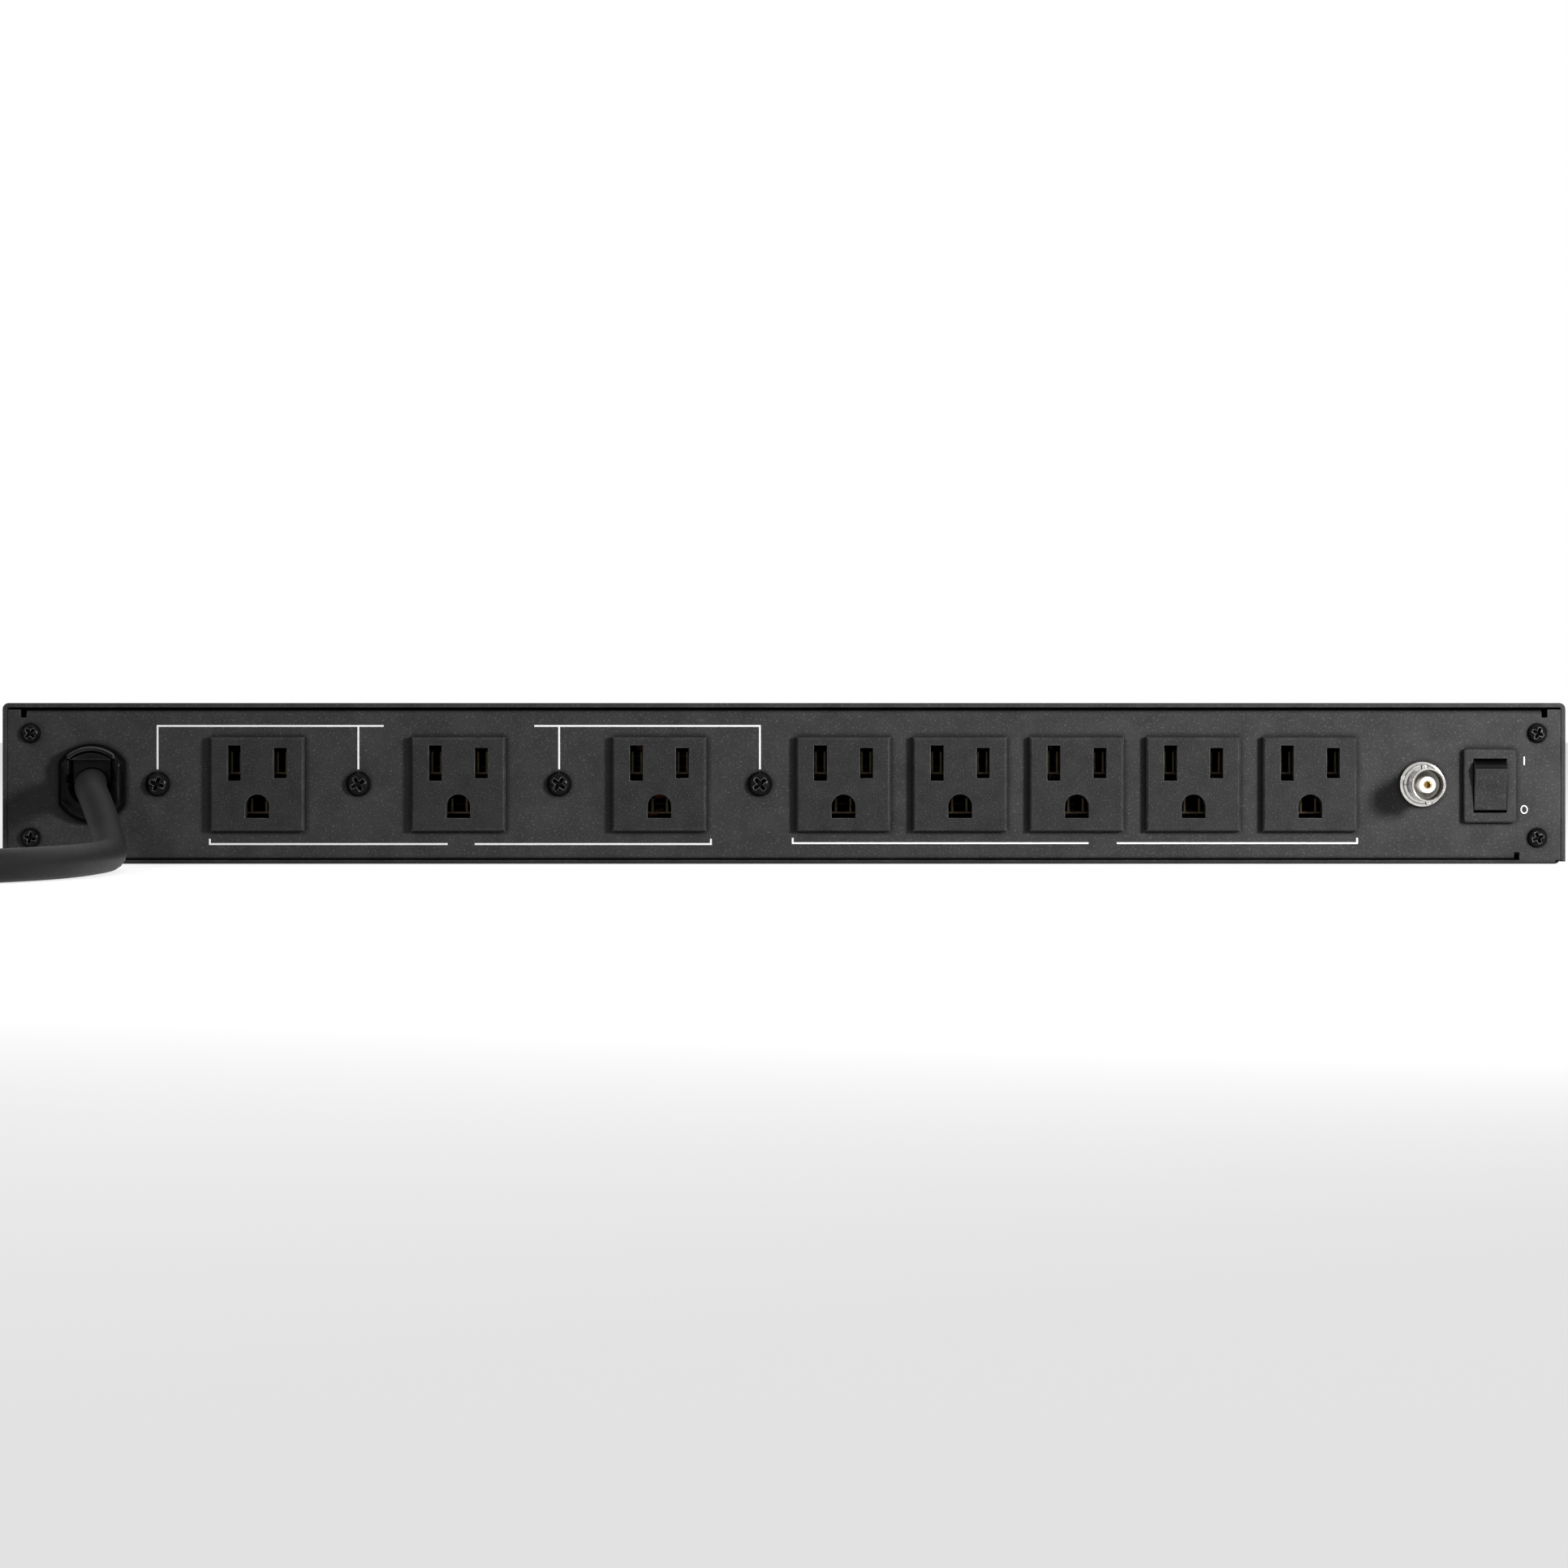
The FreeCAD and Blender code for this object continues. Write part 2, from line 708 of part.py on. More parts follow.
corner_screw = pan_screw("corner", s.corner_head, s.corner_thread, s.screw_depth)
turns = iter((20, 65, 48, 5, 33, 71, 12, 57))
group("corner_screws", *[
    copy_of(corner_screw, side * corner_at, rear, level, turned((0, 1, 0), next(turns)))
    for side in (-1, 1) for level in corner_levels])
strap_screw = pan_screw("strap", s.strap_head, s.strap_thread, s.screw_depth)
group("strap_screws", *[
    copy_of(strap_screw, place, rear, s.outlet_level, turned((0, 1, 0), next(turns))) for place in strap_places])
side_screw = pan_screw("side", s.corner_head, s.corner_thread, s.screw_depth * 0.6)
side_copies = [copy_of(side_screw, side * half_width, rear + along, side_screw_level, turned((0, 0, 1), 90 * side))
               for side in (-1, 1) for along in side_places]
front_copies = [copy_of(side_screw, side * corner_at, front_face, level, ABOUT_FACE)
                for side in (-1, 1) for level in corner_levels]
group("case_screws", *side_copies, *front_copies)


def hex_nut(label, thread, across, thick):
    """A hexagon nut that starts at y = 0 and runs along +Y."""
    made = doc.addObject("PartDesign::Body", "Nut_" + label)
    corner = across / (2 * math.cos(math.pi / 6))
    drawing = sketch(made, "XZ_Plane")
    polygon(drawing, [(corner * math.cos(math.radians(60 * step)), corner * math.sin(math.radians(60 * step)))
                      for step in range(6)])
    circle(drawing, 0, 0, thread / 2)
    pad(made, drawing, thick, reverse=True)
    return made


strap_nut = hex_nut("strap", s.strap_thread, s.strap_thread * 1.75, s.strap_thread * 0.8)
bnc_nut = hex_nut("bnc", s.bnc_thread, s.bnc_flange * 1.1, s.panel_nut)
breaker_nut = hex_nut("breaker", s.breaker_neck, s.breaker_neck * 1.3, s.panel_nut)
dimmer_nut = hex_nut("dimmer", s.dimmer_neck, s.dimmer_neck * 1.45, s.panel_nut)
nuts = [
    copy_of(bnc_nut, bnc_at, rear + s.rear_sheet, s.bnc_level),
    copy_of(breaker_nut, breaker_at, front_face, s.front_level),
    copy_of(dimmer_nut, dimmer_at, front_face, s.front_level),
    *[copy_of(strap_nut, place, rear + s.rear_sheet, s.outlet_level) for place in strap_places],
]


# ---------------------------------------------------------------- outlets
def outlet(label, x, y, level, facing):
    """A snap-in outlet: face plate, neck through the panel, blade slots and a D-shaped ground hole.

    facing is 1 for the back panel and -1 for the front one; y is the panel's outer face.
    """
    made = body(label, x, y, level, UPRIGHT if facing > 0 else ABOUT_FACE)
    face = s.outlet_face / 2
    neck = s.outlet_neck / 2
    pad(made, rectangle(sketch(made, "XZ_Plane"), -face, face, -face, face), s.outlet_proud)
    front_edges = -1 * s.outlet_proud
    round_edges(made, s.outlet_bevel, lambda edge: at(edge, 1, front_edges), "Chamfer")
    pad(made, rectangle(sketch(made, "XZ_Plane"), -neck, neck, -neck, neck), s.outlet_depth, reverse=True)
    half_space = s.blade_spacing / 2
    half_slot = s.slot_width / 2
    slots = sketch(made, "XZ_Plane", s.outlet_proud)
    for side, tall in ((-1, s.neutral_slot), (1, s.hot_slot)):
        rectangle(slots, side * half_space - half_slot, side * half_space + half_slot,
                  s.blade_rise - tall / 2, s.blade_rise + tall / 2)
    pocket(made, slots, s.outlet_proud + s.outlet_depth)
    ground = circle(sketch(made, "XZ_Plane", s.outlet_proud), 0, -1 * s.ground_drop, s.ground_width / 2)
    pocket(made, ground, s.outlet_proud + s.outlet_depth)
    square = rectangle(sketch(made, "XZ_Plane", s.outlet_proud), s.ground_width / -2, s.ground_width / 2,
                       -1 * s.ground_drop - s.ground_width / 2, -1 * s.ground_drop)
    pocket(made, square, s.outlet_proud + s.outlet_depth)
    return made


def contact(label, wide, tall, held, tab_low, tab_high):
    """A contact folded from brass strip: two leaves on a web, and a tab out of the housing.

    The leaves start at y = 0 and run along +Y; the blade goes between them. The web joins their lower
    edges and is as wide as held, which keeps it between the walls of its cavity.
    """
    made = doc.addObject("PartDesign::Body", "Contact_" + label)
    half = wide / 2
    inner = half - s.contact_sheet
    low = tall / -2
    web = low + s.contact_sheet
    grip = held / 2
    fold = polygon(sketch(made, "XZ_Plane"), [
        (-grip, low), (grip, low), (grip, web), (half, web), (half, tall / 2), (inner, tall / 2), (inner, web),
        (-inner, web), (-inner, tall / 2), (-half, tall / 2), (-half, web), (-grip, web),
    ])
    pad(made, fold, s.contact_length, reverse=True)
    tab_end = s.outlet_depth + s.contact_tab - s.contact_set_back + s.outlet_proud
    tail = rectangle(sketch(made, "XZ_Plane", -1 * s.contact_length), inner, half, tab_low, tab_high)
    pad(made, tail, tab_end - s.contact_length, reverse=True)
    return made


for step, place in enumerate(bank_a, 1):
    outlet(f"outlet_a{step}", place, rear, s.outlet_level, 1)
for step, place in enumerate(bank_b, 1):
    outlet(f"outlet_b{step}", place, rear, s.outlet_level, 1)
outlet("front_outlet", front_outlet_at, front_face, s.front_level, -1)

# Spring clips: wedges pressed on both sides of each outlet's neck, behind the panel that they hold it to.
clip = doc.addObject("PartDesign::Body", "Clip")
pad(clip, polygon(sketch(clip, "XY_Plane"), [(0, 0), (s.clip_proud, 0), (0, s.clip_length)]),
    s.clip_width, both=True)
neck_half = s.outlet_neck / 2
behind_rear = rear + s.rear_sheet + s.sheet_gap
behind_front = front_back - s.sheet_gap
clips = []
for place in bank_a + bank_b:
    clips.append(copy_of(clip, place + neck_half, behind_rear, s.outlet_level))
    clips.append(copy_of(clip, place - neck_half, behind_rear, s.outlet_level, turned((0, 1, 0), 180)))
clips.append(copy_of(clip, front_outlet_at + neck_half, behind_front, s.front_level, turned((1, 0, 0), 180)))
clips.append(copy_of(clip, front_outlet_at - neck_half, behind_front, s.front_level, ABOUT_FACE))
group("panel_fasteners", *nuts, *clips)

contact_front = s.contact_set_back - s.outlet_proud
tab_half = s.contact_height / 2
blade_half = s.blade_spacing / 2
contact_kinds = (
    ("neutral_contacts", contact("neutral", s.contact_width, s.contact_height, s.slot_width, 0, tab_half),
     -blade_half, s.blade_rise),
    ("hot_contacts", contact("hot", s.contact_width, s.contact_height, s.slot_width, -tab_half, 0),
     blade_half, s.blade_rise),
    ("ground_contacts", contact("ground", s.ground_contact, s.ground_contact * 0.95, s.ground_width,
                                tab_half * -0.5, tab_half * 0.5), 0, -1 * s.ground_drop),
)
for label, kind, across, rise in contact_kinds:
    group(label, *[copy_of(kind, place + across, rear + contact_front, s.outlet_level + rise)
                   for place in bank_a + bank_b],
          copy_of(kind, front_outlet_at - across, front_face - contact_front, s.front_level + rise,
                  ABOUT_FACE))


# ---------------------------------------------------------------- strain relief
# Two-piece bushing: a slotted body pushed into the panel and a wedge that clamps the cord in it.
relief = body("strain_relief", relief_at, rear, s.relief_level)
neck_radius = s.relief_neck / 2
revolve(relief, [
    (0, -1 * s.relief_proud), (s.relief_head * 0.4, -1 * s.relief_proud),
    (s.relief_head / 2, s.relief_proud * -0.55), (s.relief_head / 2, 0), (neck_radius, 0),
    (neck_radius, s.rear_sheet), (neck_radius + 0.6, s.rear_sheet), (neck_radius + 0.6, s.rear_sheet * 2),
    (neck_radius * 0.95, s.relief_depth), (0, s.relief_depth),
])
flats = sketch(relief, "XZ_Plane", s.relief_proud)
for side in (-1, 1):
    rectangle(flats, side * s.relief_flats / 2, side * s.relief_head, -1 * s.relief_head, s.relief_head)
pocket(relief, flats, s.relief_proud)
relief_long = s.relief_proud + s.relief_depth
arch = s.cord_diameter * 0.62
channel_half = s.cord_diameter * 0.54
channel_top = s.cord_diameter * 0.72
bore = sketch(relief, "XZ_Plane", s.relief_proud)
circle(bore, 0, 0, s.cord_diameter / 2)
pocket(relief, bore, relief_long)
arched = circle(sketch(relief, "XZ_Plane", s.relief_proud), 0, s.cord_diameter * 0.36, arch)
pocket(relief, arched, s.relief_proud)
slot = rectangle(sketch(relief, "XZ_Plane", s.relief_proud), -channel_half, channel_half, 0, channel_top)
pocket(relief, slot, relief_long)

wedge = body("strain_relief_wedge", relief_at, rear, s.relief_level)
wedge_proud = s.relief_proud + s.relief_lip
head_block = circle(sketch(wedge, "XZ_Plane", wedge_proud), 0, s.cord_diameter * 0.36, arch)
pad(wedge, head_block, wedge_proud, reverse=True)
keel = rectangle(sketch(wedge, "XZ_Plane", wedge_proud), -channel_half, channel_half, 0, channel_top)
pad(wedge, keel, wedge_proud + s.relief_depth, reverse=True)
seat = circle(sketch(wedge, "XZ_Plane", wedge_proud), 0, 0, s.cord_diameter / 2)
pocket(wedge, seat, wedge_proud + s.relief_depth)
under_seat = rectangle(sketch(wedge, "XZ_Plane", wedge_proud), s.relief_head / -2, s.relief_head / 2,
                       s.relief_head / -2, 0)
pocket(wedge, under_seat, wedge_proud)


# ---------------------------------------------------------------- lamp socket
# Turned nickel shell with a bayonet collar, an insulator, a centre contact, and a nut behind the panel.
half_barrel = s.bnc_barrel / 2
half_bore = s.bnc_bore / 2
half_flange = s.bnc_flange / 2
flange_thick = s.bnc_flange * 0.22
bnc_tail = s.bnc_flange
insulator_radius = s.bnc_insulator / 2
shell = body("bnc_shell", bnc_at, rear, s.bnc_level)
revolve(shell, [
    (half_bore, -1 * s.bnc_reach), (half_barrel - 0.3, -1 * s.bnc_reach), (half_barrel, 0.3 - s.bnc_reach),
    (half_barrel, -1 * flange_thick), (half_flange, -1 * flange_thick), (half_flange, 0),
    (s.bnc_thread / 2, 0), (s.bnc_thread / 2, bnc_tail), (insulator_radius, bnc_tail),
    (insulator_radius, s.bnc_reach * -0.35), (half_bore, s.bnc_reach * -0.35),
])
lug_circle = circle(sketch(shell, "XY_Plane"), 0, s.bnc_reach * -0.68, s.bnc_barrel * 0.11)
pad(shell, lug_circle, s.bnc_flange + 0.6, both=True)
lug_bore = circle(sketch(shell, "XZ_Plane", s.bnc_reach), 0, 0, half_bore)
pocket(shell, lug_bore, s.bnc_reach * 0.65)
insulator = body("bnc_insulator", bnc_at, rear, s.bnc_level)
contact_radius = s.bnc_contact / 2
revolve(insulator, [
    (contact_radius, s.bnc_reach * -0.82), (insulator_radius, s.bnc_reach * -0.82),
    (insulator_radius, bnc_tail), (contact_radius, bnc_tail),
])
centre = body("bnc_contact", bnc_at, rear, s.bnc_level)
centre_bore = s.bnc_contact_bore / 2
revolve(centre, [
    (centre_bore, s.bnc_reach * -0.8), (contact_radius, s.bnc_reach * -0.8),
    (contact_radius, bnc_tail + 4), (0, bnc_tail + 4), (0, s.bnc_reach * -0.3),
    (centre_bore, s.bnc_reach * -0.3),
])


# ---------------------------------------------------------------- rocker switches
def rocker_switch(name, x, y, level, facing, width, height, key_width, key_height):
    """A snap-in rocker switch: housing with its bezel, the rocker, and the terminals behind.

    facing is 1 on the back and -1 on the front; y is the panel's outer face. The rocker is a slice of
    a cylinder about its own pins, with a shallow V face, and rests with its lower end pressed.
    """
    way = UPRIGHT if facing > 0 else ABOUT_FACE
    key_radius = key_height / 2 - s.key_gap
    pivot = key_radius * 0.39 - s.bezel_proud
    housing = body(name + "_housing", x, y, level, way)
    pad(housing, rectangle(sketch(housing, "XZ_Plane"), width / -2, width / 2, height / -2, height / 2),
        s.bezel_proud)
    round_edges(housing, s.bezel_corner, lambda edge: runs_along(edge, 1))
    bezel_front = -1 * s.bezel_proud
    round_edges(housing, s.bezel_corner * 0.6, lambda edge: at(edge, 1, bezel_front))
    neck_half = key_width / 2 + s.switch_wall
    neck_tall = key_height / 2 + s.switch_wall
    pad(housing, rectangle(sketch(housing, "XZ_Plane"), -neck_half, neck_half, -neck_tall, neck_tall),
        s.switch_depth, reverse=True)
    well = rectangle(sketch(housing, "XZ_Plane", s.bezel_proud), key_width / -2, key_width / 2,
                     key_height / -2, key_height / 2)
    pocket(housing, well, key_radius * 1.39 + s.key_gap * 2)
    sockets = circle(sketch(housing, "YZ_Plane"), pivot, 0, s.key_pin / 2 + s.key_pin_gap)
    pocket(housing, sockets, key_width + s.switch_wall, both=True)

    rocker = body(name + "_rocker", x, y + facing * pivot, level, way * turned((1, 0, 0), s.key_swing.number / 2))
    drum = circle(sketch(rocker, "YZ_Plane"), 0, 0, key_radius)
    pad(rocker, drum, key_width - s.key_gap * 2, both=True)
    rim = key_radius * 0.643
    dip = key_radius * 0.56
    face = polygon(sketch(rocker, "YZ_Plane"), [
        (-1 * rim, -1 * key_radius), (-1 * dip, 0), (-1 * rim, key_radius), (key_radius * -1.2, key_radius),
        (key_radius * -1.2, -1 * key_radius),
    ])
    pocket(rocker, face, key_width, both=True)
    under = rectangle(sketch(rocker, "YZ_Plane"), key_radius * 0.5, key_radius * 1.2, -1 * key_radius, key_radius)
    pocket(rocker, under, key_width, both=True)
    pins = circle(sketch(rocker, "YZ_Plane"), 0, 0, s.key_pin / 2)
    pad(rocker, pins, key_width + s.switch_wall * 0.8, both=True)
    round_edges(rocker, s.key_gap * 2, lambda edge: edge.CenterOfMass.y < -0.5 * key_radius.number)

    tabs = []
    for step in (-1, 0, 1):
        tab = box(f"{name}_terminal", s.terminal_width, s.contact_tab, s.terminal_sheet)
        tab_y = s.switch_depth if facing > 0 else -1 * (s.switch_depth + s.contact_tab)
        put(tab, x - s.terminal_width / 2, y + tab_y, level + key_height * 0.33 * step - s.terminal_sheet / 2)
        tabs.append(tab)
    return tabs


group("switch_terminals",
      *rocker_switch("lamp_switch", lamp_switch_at, rear, s.lamp_switch_level, 1, s.lamp_bezel_width,
                     s.lamp_bezel_height, s.lamp_key_width, s.lamp_key_height),
      *rocker_switch("main_switch", main_switch_at, front_face, s.front_level, -1, s.main_bezel_width,
                     s.main_bezel_height, s.main_key_width, s.main_key_height))


# ---------------------------------------------------------------- breaker and dimmer
# Push-to-reset breaker: body behind the panel, threaded neck, nut in front, and the button that pops out.
breaker_neck_reach = s.front_sheet + s.panel_nut + 1
breaker_bore = s.breaker_button / 2 + s.shaft_gap
breaker = body("breaker_body", breaker_at, front_back, s.front_level, ABOUT_FACE)
pad(breaker, rectangle(sketch(breaker, "XZ_Plane"), s.breaker_body_width / -2, s.breaker_body_width / 2,
                       s.breaker_body_height / -2, s.breaker_body_height / 2),
    s.breaker_body_depth, reverse=True)
round_edges(breaker, s.bezel_corner, lambda edge: runs_along(edge, 1))
pad(breaker, circle(sketch(breaker, "XZ_Plane"), 0, 0, s.breaker_neck / 2), breaker_neck_reach)
pocket(breaker, circle(sketch(breaker, "XZ_Plane", breaker_neck_reach), 0, 0, breaker_bore),
       breaker_neck_reach + s.breaker_body_depth / 2)
button_inside = s.breaker_body_depth * 0.4
button = body("breaker_button", breaker_at, front_face, s.front_level, ABOUT_FACE)
button_radius = s.breaker_button / 2
button_end = -1 * (s.panel_nut + s.breaker_reach)
revolve(button, [
    (0, button_end), (button_radius - 0.8, button_end), (button_radius, button_end + 0.8),
    (button_radius, s.front_sheet + button_inside), (0, s.front_sheet + button_inside),
])

# Dimmer: potentiometer behind the panel, nut in front, and a fluted knob on its shaft.
pot_neck_reach = s.front_sheet + s.panel_nut
shaft_bore = s.dimmer_shaft / 2 + s.shaft_gap
pot = body("dimmer_potentiometer", dimmer_at, front_back, s.front_level, ABOUT_FACE)
revolve(pot, [
    (0, s.dimmer_body_depth), (s.dimmer_body / 2, s.dimmer_body_depth), (s.dimmer_body / 2, 0),
    (s.dimmer_neck / 2, 0), (s.dimmer_neck / 2, -1 * pot_neck_reach), (shaft_bore, -1 * pot_neck_reach),
    (shaft_bore, s.dimmer_body_depth / 2), (0, s.dimmer_body_depth / 2),
])
shaft = body("dimmer_shaft", dimmer_at, front_back, s.front_level, ABOUT_FACE)
shaft_end = -1 * (s.front_sheet + s.knob_reach * 0.8)
shaft_start = s.dimmer_body_depth / 2 - s.shaft_gap * 2
revolve(shaft, [(0, shaft_end), (s.dimmer_shaft / 2, shaft_end), (s.dimmer_shaft / 2, shaft_start),
                (0, shaft_start)])
knob = body("dimmer_knob", dimmer_at, front_face, s.front_level, ABOUT_FACE)
knob_radius = s.knob_diameter / 2
knob_base = -1 * (s.panel_nut + s.knob_gap)
knob_top = -1 * s.knob_reach
revolve(knob, [
    (s.dimmer_shaft / 2, knob_base), (knob_radius, knob_base), (knob_radius, knob_base - 2),
    (knob_radius * 0.86, knob_base - 2.6), (knob_radius * 0.8, knob_top + 1), (knob_radius * 0.68, knob_top),
    (0, knob_top), (0, s.knob_reach * -0.8), (s.dimmer_shaft / 2, s.knob_reach * -0.8),
])
flute = circle(sketch(knob, "XZ_Plane", s.knob_reach), knob_radius * 0.94, 0, knob_radius * 0.14)
first_flute = pocket(knob, flute, s.knob_reach - s.panel_nut - s.knob_gap - 2.6)
flutes = knob.newObject("PartDesign::PolarPattern", "Flutes")
flutes.Originals = [first_flute]
flutes.Axis = ([item for item in knob.Origin.OriginFeatures if item.Role == "Y_Axis"][0], [""])
flutes.Angle = 360
flutes.Occurrences = 14
knob.Tip = flutes


# ---------------------------------------------------------------- pull-out lamps
def turned_piece(name, y, x, level, profile):
    """A loose body of revolution that becomes one solid of a group."""
    made = doc.addObject("PartDesign::Body", name)
    revolve(made, profile)
    put(made, x, y, level)
    return made


def lamp(name, x):
    """A lamp that pulls out of the front panel: fixed guide, sliding carrier, and a tube that turns in it.

    The tube has a window along one side for the bulb, a cap in front to pull it by, and a journal
    at its back that turns in the carrier, kept there by its spread end.
    """
    tube_radius = s.lamp_diameter / 2
    tube_inner = tube_radius - s.lamp_wall
    guide_inner = s.guide_diameter / 2 - s.guide_wall
    guide_long = s.lamp_length + s.carrier_length + 6
    outer = rod(f"{name}_guide_outer", s.guide_diameter / 2, guide_long)
    inner = rod(f"{name}_guide_inner", guide_inner, guide_long)
    guide = node(cut(f"{name}_guide_cut", outer, inner), f"{name}_guide")
    put(guide, x, front_back - guide_long, s.lamp_level)

    lamp_back = front_back - s.lamp_length
    journal = s.journal_diameter / 2
    carrier = body(f"{name}_carrier", x, lamp_back - s.carrier_length - s.slide_gap, s.lamp_level)
    ring_outer = guide_inner - s.slide_gap
    revolve(carrier, [(journal + s.shaft_gap, 0), (ring_outer, 0), (ring_outer, s.carrier_length),
                      (journal + s.shaft_gap, s.carrier_length)])

    cap_front = front_face + s.slide_gap * 2
    barrel = body(f"{name}_tube", x, lamp_back, s.lamp_level)
    tube_long = s.lamp_length + s.front_sheet + s.slide_gap * 2
    journal_back = -1 * (s.carrier_length + s.slide_gap * 2)
    revolve(barrel, [
        (0, journal_back - s.lamp_wall), (journal + s.lamp_wall, journal_back - s.lamp_wall),
        (journal + s.lamp_wall, journal_back), (journal, journal_back), (journal, 0), (tube_radius, 0),
        (tube_radius, tube_long), (tube_inner, tube_long), (tube_inner, s.lamp_wall * 2),
        (0, s.lamp_wall * 2),
    ])
    window_end = s.lamp_length - 14
    window = rectangle(sketch(barrel, "XY_Plane"), tube_inner * -0.8, tube_inner * 0.8,
                       window_end - s.lamp_window, window_end)
    pocket(barrel, window, s.lamp_diameter)
    cap = body(f"{name}_cap", x, cap_front, s.lamp_level)
    cap_radius = s.lamp_cap / 2
    revolve(cap, [
        (0, 0), (cap_radius, 0), (cap_radius, s.lamp_cap_reach * 0.3), (cap_radius * 0.84, s.lamp_cap_reach * 0.45),
        (cap_radius * 0.84, s.lamp_cap_reach * 0.6), (cap_radius, s.lamp_cap_reach * 0.75),
        (cap_radius * 0.96, s.lamp_cap_reach), (0, s.lamp_cap_reach),
    ])

    bulb_radius = s.bulb_diameter / 2
    bulb_middle = window_end - s.lamp_window / 2
    bulb_back = bulb_middle - s.bulb_length / 2
    glass = turned_piece(f"{name}_glass", lamp_back + bulb_back, x, s.lamp_level, [
        (0, 0), (bulb_radius, 0), (bulb_radius, s.bulb_length * 0.86), (bulb_radius * 0.7, s.bulb_length * 0.96),
        (0, s.bulb_length),
    ])
    holder = turned_piece(f"{name}_holder", lamp_back + bulb_back, x, s.lamp_level, [
        (0, -8), (tube_inner, -8), (tube_inner, -3), (bulb_radius + 1.5, -3), (bulb_radius + 1.5, 4),
        (bulb_radius, 4), (bulb_radius, 0), (0, 0),
    ])
    group(f"{name}_bulb", glass, holder)


lamp("left_lamp", -1 * lamp_at)
lamp("right_lamp", lamp_at)


# ---------------------------------------------------------------- filter board
board_left = s.body_width * s.board_share - s.board_width / 2
board_rear = rear + s.board_from_rear
board_floor = s.tray_sheet + s.standoff_height
board_top = board_floor + s.board_sheet
board = body("filter_board", board_left, board_rear, board_floor)
pad(board, rectangle(sketch(board, "XY_Plane"), 0, s.board_width, 0, s.board_length), s.board_sheet)
corner_places = [(across, along) for across in (s.board_hole_inset, s.board_width - s.board_hole_inset)
                 for along in (s.board_hole_inset, s.board_length - s.board_hole_inset)]
board_holes = sketch(board, "XY_Plane")
for across, along in corner_places:
    circle(board_holes, across, along, s.corner_thread / 2)
pocket(board, board_holes, s.board_sheet, reverse=True)

posts = []
for across, along in corner_places:
    post = rod("post", s.standoff_diameter / 2, s.standoff_height, board_left + across, board_rear + along,
               s.tray_sheet, UPRIGHT)
    hole = rod("post_hole", s.corner_thread / 2, s.standoff_height, board_left + across, board_rear + along,
               s.tray_sheet, UPRIGHT)
    posts.append(cut("post_cut", post, hole))
group("board_standoffs", *posts)
HEAD_UP = turned((1, 0, 0), -90)
inside_screws = [copy_of(side_screw, board_left + across, board_rear + along, board_top, HEAD_UP)
                 for across, along in corner_places]

choke_level = board_top + s.choke_diameter / 2 + 1.5
choke_x = board_left + s.board_width * 0.3
choke_y = board_rear + s.board_length * 0.35
choke_turns = s.choke_width / 2 + 1.5
core_ring = cut("core_ring",
                rod("core_outer", s.choke_diameter / 2, s.choke_width, choke_x, choke_y, choke_level),
                rod("core_inner", s.choke_bore / 2, s.choke_width, choke_x, choke_y, choke_level))
sleeve = cut("winding_ring",
             rod("winding_outer", s.choke_diameter / 2 + 1.5, choke_turns * 2, choke_x, choke_y - 1.5, choke_level),
             rod("winding_inner", s.choke_bore / 2 - 1.5, choke_turns * 2, choke_x, choke_y - 1.5, choke_level),
             rod("winding_core", s.choke_diameter / 2, s.choke_width, choke_x, choke_y, choke_level),
             rod("winding_bore", s.choke_bore / 2 - 0.01, s.choke_width, choke_x, choke_y, choke_level),
             centred_box("winding_split", choke_x, choke_y + s.choke_width / 2, board_top, 6, s.choke_diameter,
                         s.choke_diameter * 1.2))
group("filter_choke", core_ring, sleeve)

capacitors = []
for step in (0, 1):
    block = centred_box("capacitor", board_left + s.board_width * 0.68, board_rear + s.board_length * (0.3 + 0.3 * step),
                        board_top, s.cap_width, s.cap_depth, s.cap_height)
    rounded = doc.addObject("Part::Fillet", "capacitor_rounded")
    doc.recompute()
    rounded.Base = block
    rounded.Edges = [(count, 0.8, 0.8) for count in range(1, 13)]
    capacitors.append(rounded)
group("filter_capacitors", *capacitors)
discs = []
for step in (0, 1, 2):
    disc_level = board_top + s.disc_diameter / 2 + 2
    disc_y = board_rear + s.board_length * 0.78
    disc_x = board_left + s.board_width * (0.3 + 0.22 * step)
    body_disc = rod("disc", s.disc_diameter / 2, s.disc_thickness, disc_x, disc_y, disc_level)
    legs = [rod("leg", 0.5, s.disc_diameter / 4 + 2, disc_x + side * 3.8, disc_y + s.disc_thickness / 2,
                board_top, UPRIGHT) for side in (-1, 1)]
    discs.append(fuse("varistor", body_disc, *legs))
group("surge_varistors", *discs)


# ---------------------------------------------------------------- lamp transformer
trafo_y = rear + s.trafo_from_rear
trafo_at = s.body_width * s.trafo_share
foot = s.tray_sheet
leg_width = s.core_width / 6
window_tall = s.core_height - leg_width * 2
core = body("transformer_core", trafo_at, trafo_y, foot)
pad(core, rectangle(sketch(core, "XZ_Plane"), s.core_width / -2, s.core_width / 2, 0, s.core_height),
    s.core_stack, reverse=True)
windows = sketch(core, "XZ_Plane")
for side in (-1, 1):
    rectangle(windows, side * leg_width, side * leg_width * 2, leg_width, leg_width + window_tall)
pocket(core, windows, s.core_stack)
bobbin = body("transformer_coil", trafo_at, trafo_y + s.core_stack / 2, foot + leg_width)
coil_gap = s.slide_gap
pad(bobbin, rectangle(sketch(bobbin, "XY_Plane"), coil_gap - leg_width * 2, leg_width * 2 - coil_gap,
                      s.coil_depth / -2, s.coil_depth / 2), window_tall)
